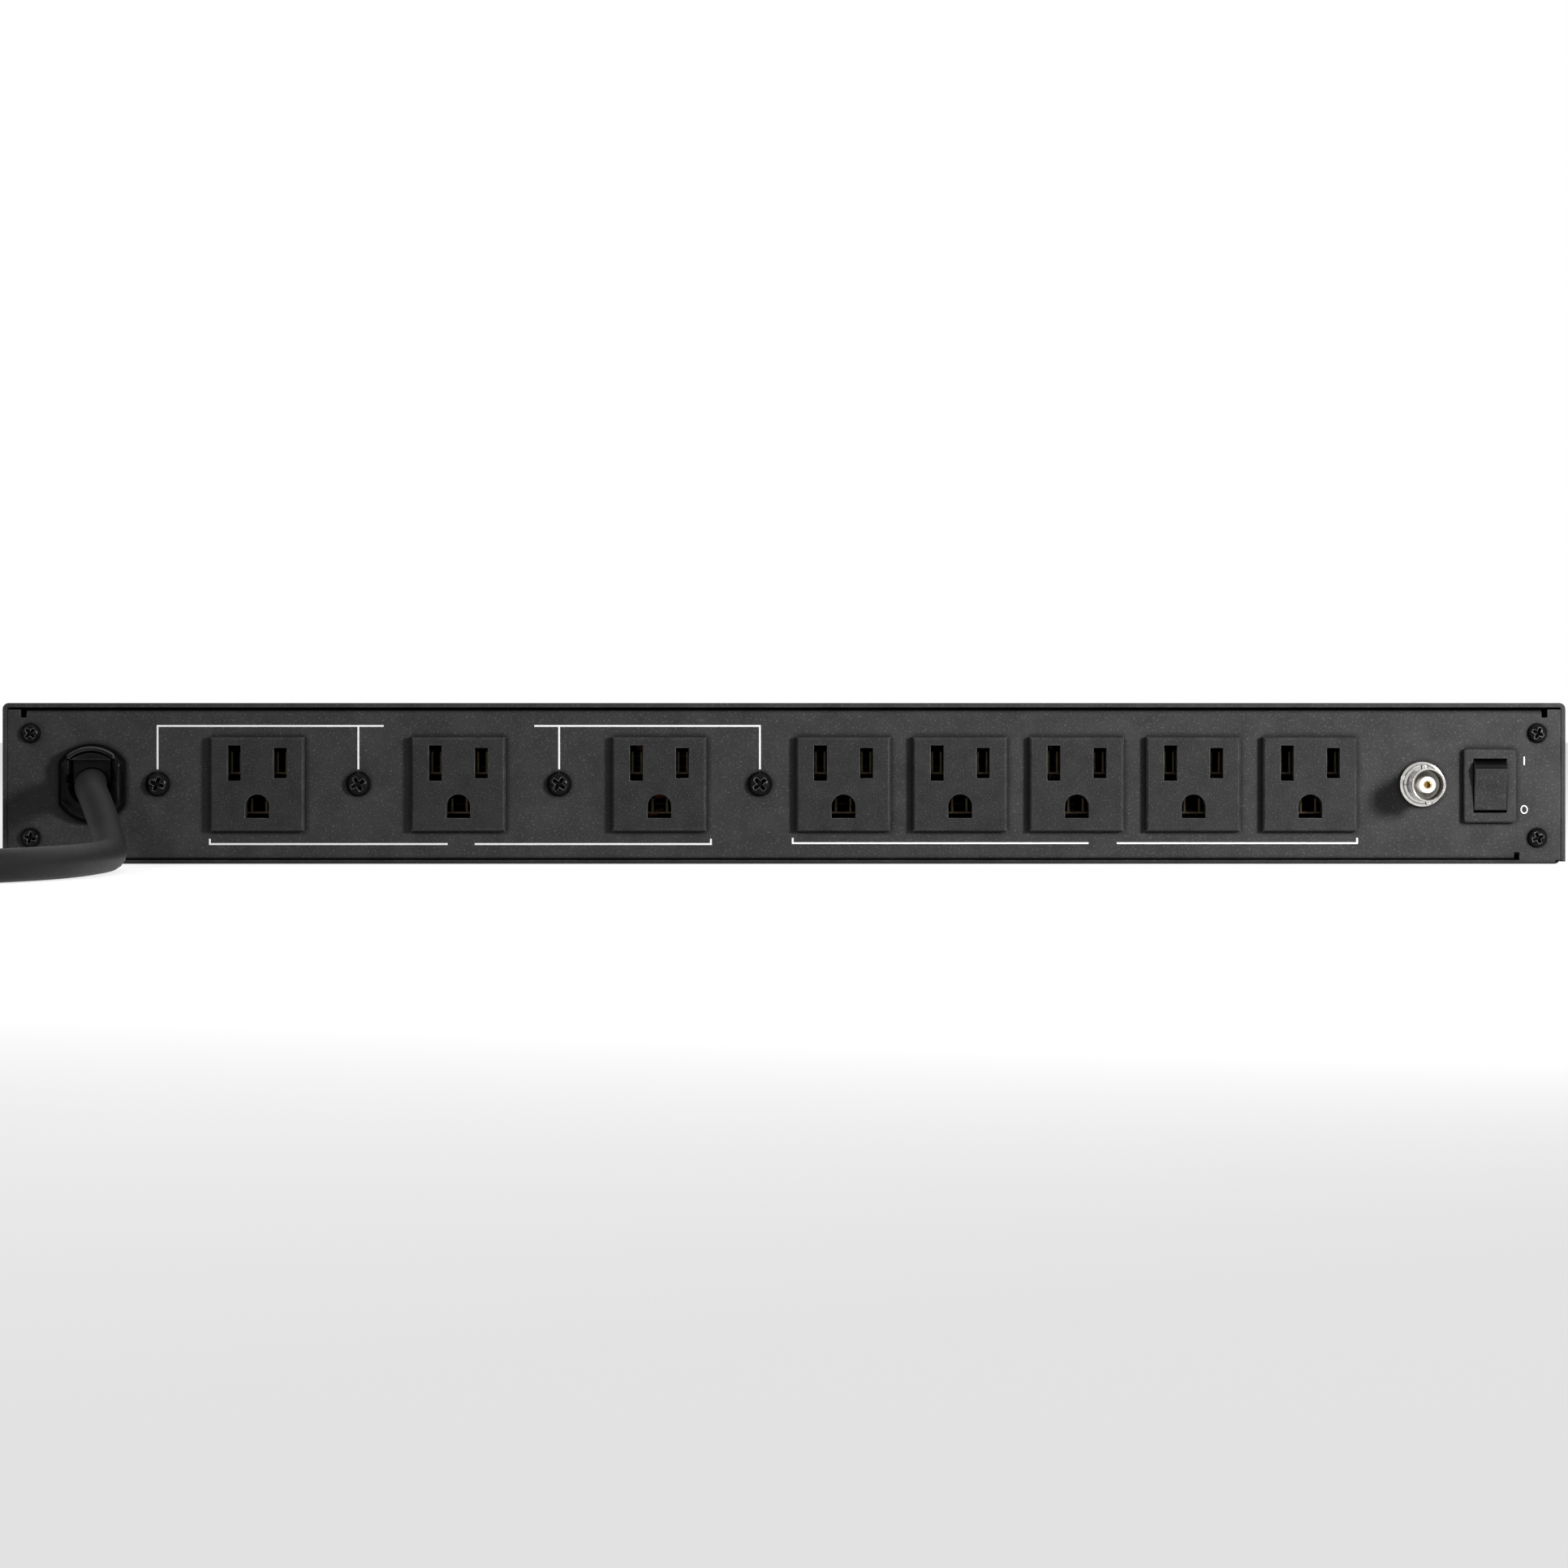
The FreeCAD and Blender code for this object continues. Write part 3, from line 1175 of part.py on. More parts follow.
pocket(bobbin, rectangle(sketch(bobbin, "XY_Plane"), -1 * leg_width, leg_width, s.core_stack / -2,
                         s.core_stack / 2), window_tall, reverse=True)
round_edges(bobbin, 3, lambda edge: runs_along(edge, 2) and edge.CenterOfMass.y ** 2 > 100)
clamp = body("transformer_clamp", trafo_at, trafo_y + s.core_stack / 4, foot)
clamp_half = s.core_width / 2
clamp_out = clamp_half + s.foot_sheet
clamp_top = s.core_height + s.foot_sheet
polygon_points = [
    (-clamp_out - s.foot_reach, 0), (-clamp_half, 0), (-clamp_half, s.core_height), (clamp_half, s.core_height),
    (clamp_half, 0), (clamp_out + s.foot_reach, 0), (clamp_out + s.foot_reach, s.foot_sheet),
    (clamp_out, s.foot_sheet), (clamp_out, clamp_top), (-clamp_out, clamp_top), (-clamp_out, s.foot_sheet),
    (-clamp_out - s.foot_reach, s.foot_sheet),
]
pad(clamp, polygon(sketch(clamp, "XZ_Plane"), polygon_points), s.core_stack / 2, reverse=True)
clamp_screw_at = clamp_out + s.foot_reach * 0.6
clamp_holes = sketch(clamp, "XY_Plane")
for side in (-1, 1):
    circle(clamp_holes, side * clamp_screw_at, s.core_stack / 4, s.corner_thread / 2)
pocket(clamp, clamp_holes, s.foot_sheet, reverse=True)
floor_screw = pan_screw("floor", s.corner_head, s.corner_thread, s.tray_sheet)
inside_screws += [copy_of(floor_screw, trafo_at + side * clamp_screw_at, trafo_y + s.core_stack / 2,
                          foot + s.foot_sheet, HEAD_UP) for side in (-1, 1)]
group("inside_screws", *inside_screws)


# ---------------------------------------------------------------- wiring
# Insulated wires inside: one along each row of contact tabs with a drop to the board, and the pair
# from the cord to the main switch.
wire = s.wire_diameter.number
rear_at = rear.number
row = rear_at + s.outlet_depth.number + s.contact_tab.number + wire / 2
blade_level = s.outlet_level.number + s.blade_rise.number
ground_level = s.outlet_level.number - s.ground_drop.number
board_edge = board_rear.number
solder = board_top.number + wire / 2
first_drop = board_left.number + s.board_hole_inset.number + wire * 2.5
row_start = bank_a[0].number - wire * 0.7
row_end = bank_b[-1].number + wire * 0.7
routes = []
for step, (level, across) in enumerate(((blade_level + tab_half.number / 2, -blade_half.number),
                                        (blade_level - tab_half.number / 2, blade_half.number),
                                        (ground_level, 0.0))):
    drop = first_drop + wire * 1.8 * step
    routes.append([(row_start + across, row, level), (row_end + across, row, level)])
    routes.append([(drop, row + wire / 2, level), (drop, board_edge - wire * 2.9, level),
                   (drop, board_edge - wire * 0.7, solder), (drop, board_edge + wire * 2.9, solder)])
lead_x = relief_at.number
lead_z = s.relief_level.number
lead_inside = rear_at + s.relief_depth.number
switch_x = main_switch_at.number
switch_z = s.front_level.number
switch_end = front_face.number - s.switch_depth.number - s.contact_tab.number
switch_rise = s.main_key_height.number * 0.33
switch_reach = s.switch_depth.number
along_case = s.body_depth.number
under = s.tray_sheet.number + wire * 0.7
for side in (-1, 1):
    pair = side * wire * 0.6
    level = switch_z + side * switch_rise
    routes.append([
        (lead_x + pair, lead_inside + wire, lead_z), (lead_x + pair, lead_inside + wire * 4.6, lead_z * 0.85),
        (lead_x + pair, lead_inside + wire * 9, lead_z * 0.4), (lead_x + pair + wire, lead_inside + wire * 14, under),
        ((lead_x + switch_x) / 2 + pair, rear_at + along_case * 0.45, under),
        (switch_x + pair - wire, rear_at + along_case * 0.64, under),
        (switch_x + pair, switch_end - switch_reach * 1.1, under + wire),
        (switch_x + pair, switch_end - switch_reach * 0.4, level), (switch_x + pair, switch_end, level),
    ])
wiring = doc.addObject("Part::Feature", "Wires")
wiring.Shape = Part.makeCompound([tube(route, wire)[0] for route in routes])
node(wiring, "inside_wiring")


# ---------------------------------------------------------------- mains cord, coil and plug
# The lead leaves the strain relief, drops to the surface and runs off to a tied coil with the plug
# beside it. The points are its route, in order; the radii of its bends are printed.
CORD_ROUTE = [
    (-191.1, -98.0, 22.3), (-191.1, -112.5, 22.3), (-187.4, -126.3, 19.3), (-183.6, -136.5, 13.2),
    (-180.4, -146.0, 7.4), (-178.3, -157.5, 4.4), (-177.4, -175.5, 4.3), (-178.4, -199.5, 4.3),
    (-183.2, -226.5, 4.3), (-196.0, -252.0, 4.3), (-216.0, -270.0, 4.3), (-239.5, -277.6, 4.3),
    (-262.0, -278.0, 4.3),
]
TAIL_ROUTE = [(-353.4, -189.0, 12.4), (-353.4, -178.0, 12.0), (-353.2, -167.0, 11.4), (-353.0, -157.0, 11.0)]
COIL_MIDDLE = (-286.0, -211.0)
cord_d = s.cord_diameter.number
for label, route in (("power_cord", CORD_ROUTE), ("cord_tail", TAIL_ROUTE)):
    solid, length, radii = tube(route, cord_d)
    lead = doc.addObject("Part::Feature", "Cord_" + label)
    lead.Shape = solid
    node(lead, label)
    print(label, "length", round(length, 1), "bend radii", [round(radius, 1) for radius in radii])
coil = body("cord_coil", COIL_MIDDLE[0], COIL_MIDDLE[1], 0)
coil_half = s.lead_coil_width / 2
coil_radius = s.lead_coil_middle / 2
ring = rectangle(sketch(coil, "XZ_Plane"), coil_radius - coil_half, coil_radius + coil_half, 0,
                 s.lead_coil_height)
turning = coil.newObject("PartDesign::Revolution", "Ring")
turning.Profile = ring
turning.ReferenceAxis = (ring, ["V_Axis"])
turning.Angle = 360
doc.recompute()
round_edges(coil, s.cord_diameter * 0.4, lambda edge: True)

# Moulded plug: a tapered boot, a grip that narrows to it, two blades and a ground pin.
plug_x, plug_start, plug_level = TAIL_ROUTE[-1]
plug = body("plug_body", plug_x, plug_start, plug_level)
boot_radius = s.cord_diameter / 2 + 1.5
revolve(plug, [(0, 0), (boot_radius, 0), (boot_radius + 1.5, s.plug_boot), (0, s.plug_boot)])
grip = rectangle(sketch(plug, "XZ_Plane", -1 * s.plug_boot), s.plug_width / -2, s.plug_width / 2,
                 s.plug_height / -2, s.plug_height / 2)
pad(plug, grip, s.plug_length, reverse=True)
plug_end = s.plug_boot + s.plug_length
round_edges(plug, s.plug_height * 0.22, lambda edge: runs_along(edge, 1))


def grip_rim(edge):
    """The outer edges at the two ends of the grip, not the foot of the boot."""
    off_axis = abs(edge.CenterOfMass.x) + abs(edge.CenterOfMass.z)
    return off_axis > 1 and (at(edge, 1, s.plug_boot) or at(edge, 1, plug_end))


round_edges(plug, s.plug_height * 0.12, grip_rim)
blades = []
for side, wide in ((-1, s.blade_width * 1.25), (1, s.blade_width)):
    blade = box("blade", s.blade_thickness, s.blade_length, wide)
    put(blade, plug_x + side * s.blade_spacing / 2 - s.blade_thickness / 2, plug_start + plug_end,
        plug_level + s.plug_height * 0.1 - wide / 2)
    blades.append(blade)
pin = rod("pin", s.ground_pin / 2, s.ground_pin_length, plug_x, plug_start + plug_end,
          plug_level - s.plug_height * 0.22)
group("plug_blades", *blades, pin)


# ---------------------------------------------------------------- write the parts
doc.recompute()
os.makedirs("parts", exist_ok=True)
for thing in doc.Objects:
    if "Invalid" in thing.State or "Error" in thing.State:
        raise ValueError(f"{thing.Name} ({thing.Label}) failed: {thing.State}")
for thing in MADE:
    if thing.Shape.isNull() or not thing.Shape.isValid():
        raise ValueError(f"{thing.Label} has no valid shape")
    thing.Shape.exportStep(f"parts/{thing.Label}.step")
print(len(MADE), "parts written")
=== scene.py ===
import math

import bmesh
import bpy
import numpy as np
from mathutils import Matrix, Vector


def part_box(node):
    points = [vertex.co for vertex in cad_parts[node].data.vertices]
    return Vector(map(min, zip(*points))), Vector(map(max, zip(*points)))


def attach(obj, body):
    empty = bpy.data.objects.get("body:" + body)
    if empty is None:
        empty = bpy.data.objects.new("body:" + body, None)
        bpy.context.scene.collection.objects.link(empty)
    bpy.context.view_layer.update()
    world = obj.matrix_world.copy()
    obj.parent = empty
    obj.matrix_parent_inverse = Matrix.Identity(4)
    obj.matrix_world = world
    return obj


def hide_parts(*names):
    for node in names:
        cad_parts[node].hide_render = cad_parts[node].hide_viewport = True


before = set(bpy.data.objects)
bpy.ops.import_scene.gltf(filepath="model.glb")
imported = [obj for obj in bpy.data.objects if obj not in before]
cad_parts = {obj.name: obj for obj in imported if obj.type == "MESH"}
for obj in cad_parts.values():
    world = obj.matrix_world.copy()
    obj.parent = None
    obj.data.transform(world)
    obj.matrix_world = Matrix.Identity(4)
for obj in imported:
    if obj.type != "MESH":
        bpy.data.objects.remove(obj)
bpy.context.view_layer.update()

# ---------------------------------------------------------------- tray
# The floor and side walls of the case are folded up from one sheet of 1 mm steel. Every outside sheet
# is powder coated: a hard, finely pitted black skin that thins over the folds; its edges are painted lighter,
# partly as wear and partly as painted highlight.
MM = 0.001
COAT_COLOUR = (0.032, 0.032, 0.0325)
COAT_WEAR_AND_GLINT = (0.20, 0.20, 0.20)
COAT_ROUGHNESS = 0.55
COAT_GLOSS = 0.10
COAT_PITS_PER_METRE = 1900
COAT_CLOUDS_PER_METRE = 160
EDGE_ROUNDING = 0.35 * MM
EDGE_NEAR, EDGE_CLEAR = 0.80, 0.97
SHADING_SAMPLES = 4
# Painted shade: a colour darkens towards this near black where other surfaces close a point in, out to this
# reach.
PAINTED_SHADE_BLACK = (0.002, 0.002, 0.002)
PAINTED_SHADE_REACH = 1.6 * MM
PAINTED_SHADE_SHUT, PAINTED_SHADE_OPEN = 0.50, 0.92
PITTED_FROM, PITTED_FULL = 0.56, 0.80
SHADE_DRIFT = 0.18
# Bands that hold nearly all, most and about half of a noise's values.
WIDE, COMMON, CORE = (0.2, 0.8), (0.3, 0.7), (0.35, 0.65)


def finish(name, colour, roughness, metal=0.0, gloss=0.5):
    """A material with one plain colour, roughness, share of metal and level of specular reflection."""
    made = bpy.data.materials.new(name)
    made.use_nodes = True
    shader = made.node_tree.nodes["Principled BSDF"]
    shader.inputs["Base Color"].default_value = (*colour, 1.0)
    shader.inputs["Roughness"].default_value = roughness
    shader.inputs["Metallic"].default_value = metal
    shader.inputs["Specular IOR Level"].default_value = gloss
    return made, made.node_tree, shader


def grown(tree, kind, **settings):
    """A node of one kind, with each named input set to a number or joined to a socket. An underline in a
    name is a space, and an underline with a number is the input of that number."""
    made = tree.nodes.new("ShaderNode" + kind)
    for name, value in settings.items():
        if name in ("operation", "data_type", "samples"):
            setattr(made, name, value)
            continue
        place = made.inputs[int(name[1:])] if name[1:].isdigit() else made.inputs[name.replace("_", " ")]
        if isinstance(value, bpy.types.NodeSocket):
            tree.links.new(value, place)
        else:
            place.default_value = value
    return made


def noise(tree, per_metre, detail=2.0, stretch=(1.0, 1.0, 1.0)):
    """Noise on Object coordinates, from 0 to 1, with its grain drawn out by stretch."""
    place = tree.nodes.new("ShaderNodeTexCoord").outputs["Object"]
    turned = grown(tree, "Mapping", Vector=place, Scale=stretch)
    made = grown(tree, "TexNoise", Vector=turned.outputs["Vector"], Scale=per_metre, Detail=detail)
    return made.outputs[0]


def ranged(tree, value, low, high, to_low, to_high):
    """The value carried from one range to another and held inside it."""
    made = grown(tree, "MapRange", Value=value, From_Min=low, From_Max=high, To_Min=to_low, To_Max=to_high)
    return made.outputs["Result"]


def shaded(colour, share):
    """A colour that reflects a share of what the given one does."""
    return tuple(share * part for part in colour)


def blended(tree, share, first, second):
    """A colour between two others; each is a colour or a socket."""
    made = grown(tree, "Mix", data_type="RGBA", _0=share)
    for index, colour in ((6, first), (7, second)):
        if isinstance(colour, bpy.types.NodeSocket):
            tree.links.new(colour, made.inputs[index])
        else:
            made.inputs[index].default_value = (*colour, 1.0)
    return made.outputs[2]


def softened(tree, shader, radius, height, depth, strength):
    """Rounds the shading over edges and raises the height field. Returns 0 where the rounded direction is
    the face's own, and 1 where an edge is so near that it has turned well away from it."""
    rounded = grown(tree, "Bevel", samples=SHADING_SAMPLES, Radius=radius).outputs["Normal"]
    raised = grown(tree, "Bump", Strength=strength, Distance=depth, Height=height, Normal=rounded)
    tree.links.new(raised.outputs["Normal"], shader.inputs["Normal"])
    face = tree.nodes.new("ShaderNodeNewGeometry").outputs["Normal"]
    along = grown(tree, "VectorMath", operation="DOT_PRODUCT", _0=rounded, _1=face).outputs["Value"]
    return ranged(tree, along, EDGE_NEAR, EDGE_CLEAR, 1.0, 0.0)


def darkened_as_painted_shade(tree, colour):
    """The colour darkened as painted shade where other surfaces close a point in, out to the shade's reach."""
    shut = grown(tree, "AmbientOcclusion", samples=SHADING_SAMPLES, Distance=PAINTED_SHADE_REACH).outputs["AO"]
    return blended(tree, ranged(tree, shut, PAINTED_SHADE_SHUT, PAINTED_SHADE_OPEN, 0.0, 1.0), PAINTED_SHADE_BLACK, colour)


def textured(name, colour, edge_and_pit_colour, roughness, gloss, pits, clouds, wear=0.5, depth=0.09 * MM, strength=0.5,
             speckle=0.36):
    """A black that is moulded, oiled or powder coated: fine pits painted lighter, faint clouds, edges painted
    lighter, partly as wear and partly as painted glints, and painted shade where another piece stands close."""
    made, tree, shader = finish(name, colour, roughness, gloss=gloss)
    pitted = noise(tree, pits, 3.0)
    cloudy = noise(tree, clouds, 3.0)
    near_edge = softened(tree, shader, EDGE_ROUNDING, pitted, depth, strength)
    edge_lightening = grown(tree, "Math", operation="MULTIPLY", _0=near_edge,
                   _1=ranged(tree, cloudy, *CORE, 0.25 * wear, wear)).outputs[0]
    ground = blended(tree, ranged(tree, cloudy, *COMMON, 0.0, 1.0), shaded(colour, 1 - SHADE_DRIFT),
                     shaded(colour, 1 + SHADE_DRIFT))
    speckled = blended(tree, ranged(tree, pitted, PITTED_FROM, PITTED_FULL, 0.0, speckle), ground, edge_and_pit_colour)
    tree.links.new(darkened_as_painted_shade(tree, blended(tree, edge_lightening, speckled, edge_and_pit_colour)), shader.inputs["Base Color"])
    tree.links.new(ranged(tree, pitted, *WIDE, roughness - 0.08, roughness + 0.10),
                   shader.inputs["Roughness"])
    return made


def dress(coating, *names):
    """Puts a finish on CAD nodes in place of their plain colour."""
    for name in names:
        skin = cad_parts[name].data
        skin.materials.clear()
        skin.materials.append(coating)


powder_coat = textured("powder_coat", COAT_COLOUR, COAT_WEAR_AND_GLINT, COAT_ROUGHNESS, COAT_GLOSS,
                       COAT_PITS_PER_METRE, COAT_CLOUDS_PER_METRE)
dress(powder_coat, "chassis_tray")

# ---------------------------------------------------------------- filter board
# A fibreglass board on four zinc plated posts carries the surge and noise filter: a choke on a sintered
# ring, two film capacitors in yellow cases and three blue dipped discs across the lines.
BOARD_GREEN = (0.020, 0.115, 0.045)
BOARD_TRACK = (0.035, 0.170, 0.070)
ZINC = (0.55, 0.56, 0.58)
FERRITE = (0.055, 0.056, 0.058)
COPPER = (0.62, 0.24, 0.10)
FILM_YELLOW = (0.70, 0.46, 0.05)
DISC_BLUE = (0.035, 0.085, 0.30)
TRACKS_PER_METRE = 55.0
CHOKE_CORE_WIDTH = 12.0 * MM


def plated(name, colour, roughness, smear_per_metre=240, stretch=(1.0, 1.0, 1.0), rounding=0.25 * MM):
    """Bare or plated metal: fine smears in the roughness and a rounded glint along every edge."""
    made, tree, shader = finish(name, colour, roughness, metal=1.0)
    smear = noise(tree, smear_per_metre, 4.0, stretch)
    near_edge = softened(tree, shader, rounding, smear, 0.02 * MM, 0.35)
    stained = blended(tree, ranged(tree, smear, 0.35, 0.75, 0.0, 0.6), colour, shaded(colour, 0.72))
    tree.links.new(blended(tree, near_edge, stained, colour), shader.inputs["Base Color"])
    tree.links.new(ranged(tree, smear, *WIDE, roughness * 0.75, roughness * 1.35),
                   shader.inputs["Roughness"])
    return made


def moulded(name, colour, roughness, gloss=0.4, grain=900, shade=0.12, rounding=0.3 * MM):
    """Moulded plastic or a dipped coat: one colour with a little drift, a faint grain, and soft edges."""
    made, tree, shader = finish(name, colour, roughness, gloss=gloss)
    grained = noise(tree, grain, 3.0)
    drift = noise(tree, grain * 0.1, 2.0)
    softened(tree, shader, rounding, grained, 0.03 * MM, 0.3)
    tree.links.new(blended(tree, ranged(tree, drift, *COMMON, 0.0, 1.0), colour, shaded(colour, 1 - shade)),
                   shader.inputs["Base Color"])
    tree.links.new(ranged(tree, grained, *WIDE, roughness - 0.05, roughness + 0.06),
                   shader.inputs["Roughness"])
    return made


def tracked(name, mask, track):
    """Solder mask over copper: the tracks run in straight bands and show as a lighter green."""
    made, tree, shader = finish(name, mask, 0.32, gloss=0.5)
    place = tree.nodes.new("ShaderNodeTexCoord").outputs["Object"]
    bands = grown(tree, "TexWave", Vector=place, Scale=TRACKS_PER_METRE, Distortion=6.0, Detail=2.0,
                  Detail_Scale=0.6)
    weave = noise(tree, 1500, 2.0, (1.0, 2.0, 1.0))
    softened(tree, shader, 0.2 * MM, weave, 0.02 * MM, 0.3)
    tree.links.new(blended(tree, ranged(tree, bands.outputs[1], 0.55, 0.62, 0.0, 1.0), mask, track),
                   shader.inputs["Base Color"])
    return made


zinc_plate = plated("zinc_plate", ZINC, 0.34)
dress(tracked("solder_mask", BOARD_GREEN, BOARD_TRACK), "filter_board")
dress(zinc_plate, "board_standoffs")
dress(moulded("film_case", FILM_YELLOW, 0.34), "filter_capacitors")
dress(moulded("epoxy_dip", DISC_BLUE, 0.28, gloss=0.6), "surge_varistors")
sintered = moulded("sintered_ring", FERRITE, 0.62, grain=1600)
enamelled = plated("enamelled_copper", COPPER, 0.30, 1400, (1.0, 0.15, 1.0))
dress(sintered, "filter_choke")
choke_low, choke_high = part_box("filter_choke")


def painted_where(node, coating, wanted):
    """Gives a second finish to the faces of a CAD node whose middles pass the test."""
    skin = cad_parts[node].data
    skin.materials.append(coating)
    middles = np.zeros(len(skin.polygons) * 3)
    skin.polygons.foreach_get("center", middles)
    skin.polygons.foreach_set("material_index", wanted(middles.reshape(-1, 3)).astype(np.int32))


choke_middle = (choke_low.y + choke_high.y) / 2
painted_where("filter_choke", enamelled,
              lambda middle: np.abs(middle[:, 1] - choke_middle) > CHOKE_CORE_WIDTH / 2 + 0.05 * MM)

# ---------------------------------------------------------------- lamp transformer
# A stack of varnished steel plates with its windings under yellow tape, held down by a zinc plated
# clamp and two screws. It feeds the lamps on the front and the lamp socket on the back.
LAMINATION = (0.20, 0.20, 0.21)
TAPE_YELLOW = (0.66, 0.42, 0.07)
dress(plated("steel_plates", LAMINATION, 0.42, 1100, (0.2, 1.0, 0.2)), "transformer_core")
dress(moulded("winding_tape", TAPE_YELLOW, 0.40, grain=500), "transformer_coil")
dress(zinc_plate, "transformer_clamp", "inside_screws")

# ---------------------------------------------------------------- back panel
# Punched 1.2 mm steel with its top and bottom edges folded forward between relief notches, in the same
# coat as the case. The rear openings take the outlets, the strain relief, the lamp socket and switch.
dress(powder_coat, "rear_panel")
cover_low, cover_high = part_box("top_cover")
back_y = cover_low.y
case_top = cover_high.z
case_half = cover_high.x

# ---------------------------------------------------------------- outlets
# Eight snap-in outlets behind and one in front, moulded in a black flame proof nylon with a dry, faintly
# sparkling skin. Each holds three brass contacts whose folded leaves show in the slots; that brass is painted
# near black, as painted shade deep in the slots.
OUTLET_COLOUR = (0.020, 0.020, 0.0205)
OUTLET_WEAR_AND_GLINT = (0.22, 0.22, 0.22)
BRASS = (0.42, 0.30, 0.13)
SLOT_BRASS_IN_PAINTED_SHADE = (0.034, 0.027, 0.017)
OUTLETS = ["outlet_a1", "outlet_a2", "outlet_a3", "outlet_b1", "outlet_b2", "outlet_b3", "outlet_b4",
           "outlet_b5"]
# Their edges are painted lighter, partly as wear and partly as painted highlight along the chamfers, and they
# take painted shade where they meet the panel.
outlet_nylon = textured("outlet_nylon", OUTLET_COLOUR, OUTLET_WEAR_AND_GLINT, 0.50, 0.12, 2600, 220, wear=0.8)
contact_brass = plated("contact_brass", BRASS, 0.24, 700)
dress(outlet_nylon, *OUTLETS)
# Painted shade: the contacts take a near-black brass in place of the lit brass, where they lie deep in the
# slots.
dress(plated("brass_in_painted_shade", SLOT_BRASS_IN_PAINTED_SHADE, 0.40, 700), "neutral_contacts", "hot_contacts", "ground_contacts")

# ---------------------------------------------------------------- strain relief
# A two-piece glossy nylon bushing pushed through the panel: a round head with flat sides and a bevelled
# rim, and an arched clamp that is squeezed in above the cord and stands a little further out.
GLOSS_BLACK = (0.0025, 0.0025, 0.0026)
GLOSS_PAINTED_GLINT = (0.30, 0.30, 0.30)
RELIEF_RADIUS = 10.9 * MM
RELIEF_FLAT = 9.2 * MM
RELIEF_PROUD = 4.2 * MM
RELIEF_NECK = 7.8 * MM
RELIEF_REACH = 11.0 * MM
CHANNEL_HALF = 5.7 * MM
CHANNEL_ROUND = 5.3 * MM
CHANNEL_TOP = 8.9 * MM
CHANNEL_ARCH = 9.5 * MM
CHANNEL_DEPTH = 7.0 * MM
CLAMP_PROUD = 5.0 * MM
CLAMP_GAP = 0.22 * MM
CLAMP_STEP = 6.4 * MM
CLAMP_RECESS = 3.2 * MM
# Above the step: how far up each row of the clamp's front lies, as a share, and how far it leans back.
CLAMP_ROWS = (0.0, 0.10, 0.45, 0.66, 0.82, 0.93, 1.0)
CLAMP_LEAN = (0.25 * MM, 0.0, 0.0, 0.12 * MM, 0.42 * MM, 0.9 * MM, 1.7 * MM)
CORD_RADIUS = 4.25 * MM


def welded(name, grids, crease=38.0):
    """One closed mesh from grids of points: each cell is a face, borders that meet are merged, and a row
    that shrinks to a point closes there. Edges sharper than the crease angle stay sharp."""
    corners, faces, start = [], [], 0
    for grid in grids:
        rows, columns = grid.shape[:2]
        number = start + np.arange(rows * columns).reshape(rows, columns)
        corners.append(grid.reshape(-1, 3))
        faces.append(np.stack([number[:-1, :-1], number[1:, :-1], number[1:, 1:], number[:-1, 1:]],
                              axis=-1).reshape(-1, 4))
        start += rows * columns
    skin = bpy.data.meshes.new(name)
    skin.from_pydata(np.concatenate(corners).tolist(), [], np.concatenate(faces).tolist())
    shell = bmesh.new()
    shell.from_mesh(skin)
    bmesh.ops.remove_doubles(shell, verts=shell.verts, dist=1e-6)
    bmesh.ops.recalc_face_normals(shell, faces=shell.faces)
    shell.to_mesh(skin)
    shell.free()
    skin.shade_smooth()
    skin.set_sharp_from_angle(angle=math.radians(crease))
    made = bpy.data.objects.new(name, skin)
    bpy.context.scene.collection.objects.link(made)
    return made


def mounted(made, coating, slot, body, *stood_for):
    """Gives a new piece its finish and the body it rides on, in place of CAD nodes. The slot is not used."""
    made.data.materials.append(coating)
    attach(made, body)
    if stood_for:
        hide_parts(*stood_for)
    return made


def eased(points, cut, steps=4):
    """An outline with each inner corner rounded: the corner gives way to a parabola that leaves the
    sides at most `cut` from it, so short sides keep their middles."""
    points = np.array(points, float)
    before, corner, after = points[:-2], points[1:-1], points[2:]

    def cut_towards(other):
        long = np.linalg.norm(other - corner, axis=1)
        return corner + (other - corner) * (np.minimum(cut, 0.5 * long) / long)[:, None]

    enter, leave = cut_towards(before), cut_towards(after)
    share = np.linspace(0, 1, steps + 1)[None, :, None]
    bends = ((1 - share) ** 2 * enter[:, None] + 2 * share * (1 - share) * corner[:, None]
             + share ** 2 * leave[:, None])
    return np.concatenate([points[:1], bends.reshape(-1, points.shape[1]), points[-1:]])


def boxed(front, back):
    """A closed block between two grids of the same shape: the two faces and the wall round their rims."""
    def rim(grid):
        return np.concatenate([grid[0], grid[1:, -1], grid[-1, -2::-1], grid[-2::-1, 0]])
    return [front, back, np.stack([rim(front), rim(back)])]


relief_low, relief_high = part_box("strain_relief")
relief_x = (relief_low.x + relief_high.x) / 2
relief_z = (relief_low.z + relief_high.z) / 2
# Painted highlight: the edges of the glossy nylon are painted light as glints, and it takes painted shade where
# pieces meet.
nylon_gloss = textured("gloss_nylon", GLOSS_BLACK, GLOSS_PAINTED_GLINT, 0.20, 0.07, 300, 120, wear=0.5,
                       depth=0.01 * MM, speckle=0.0)


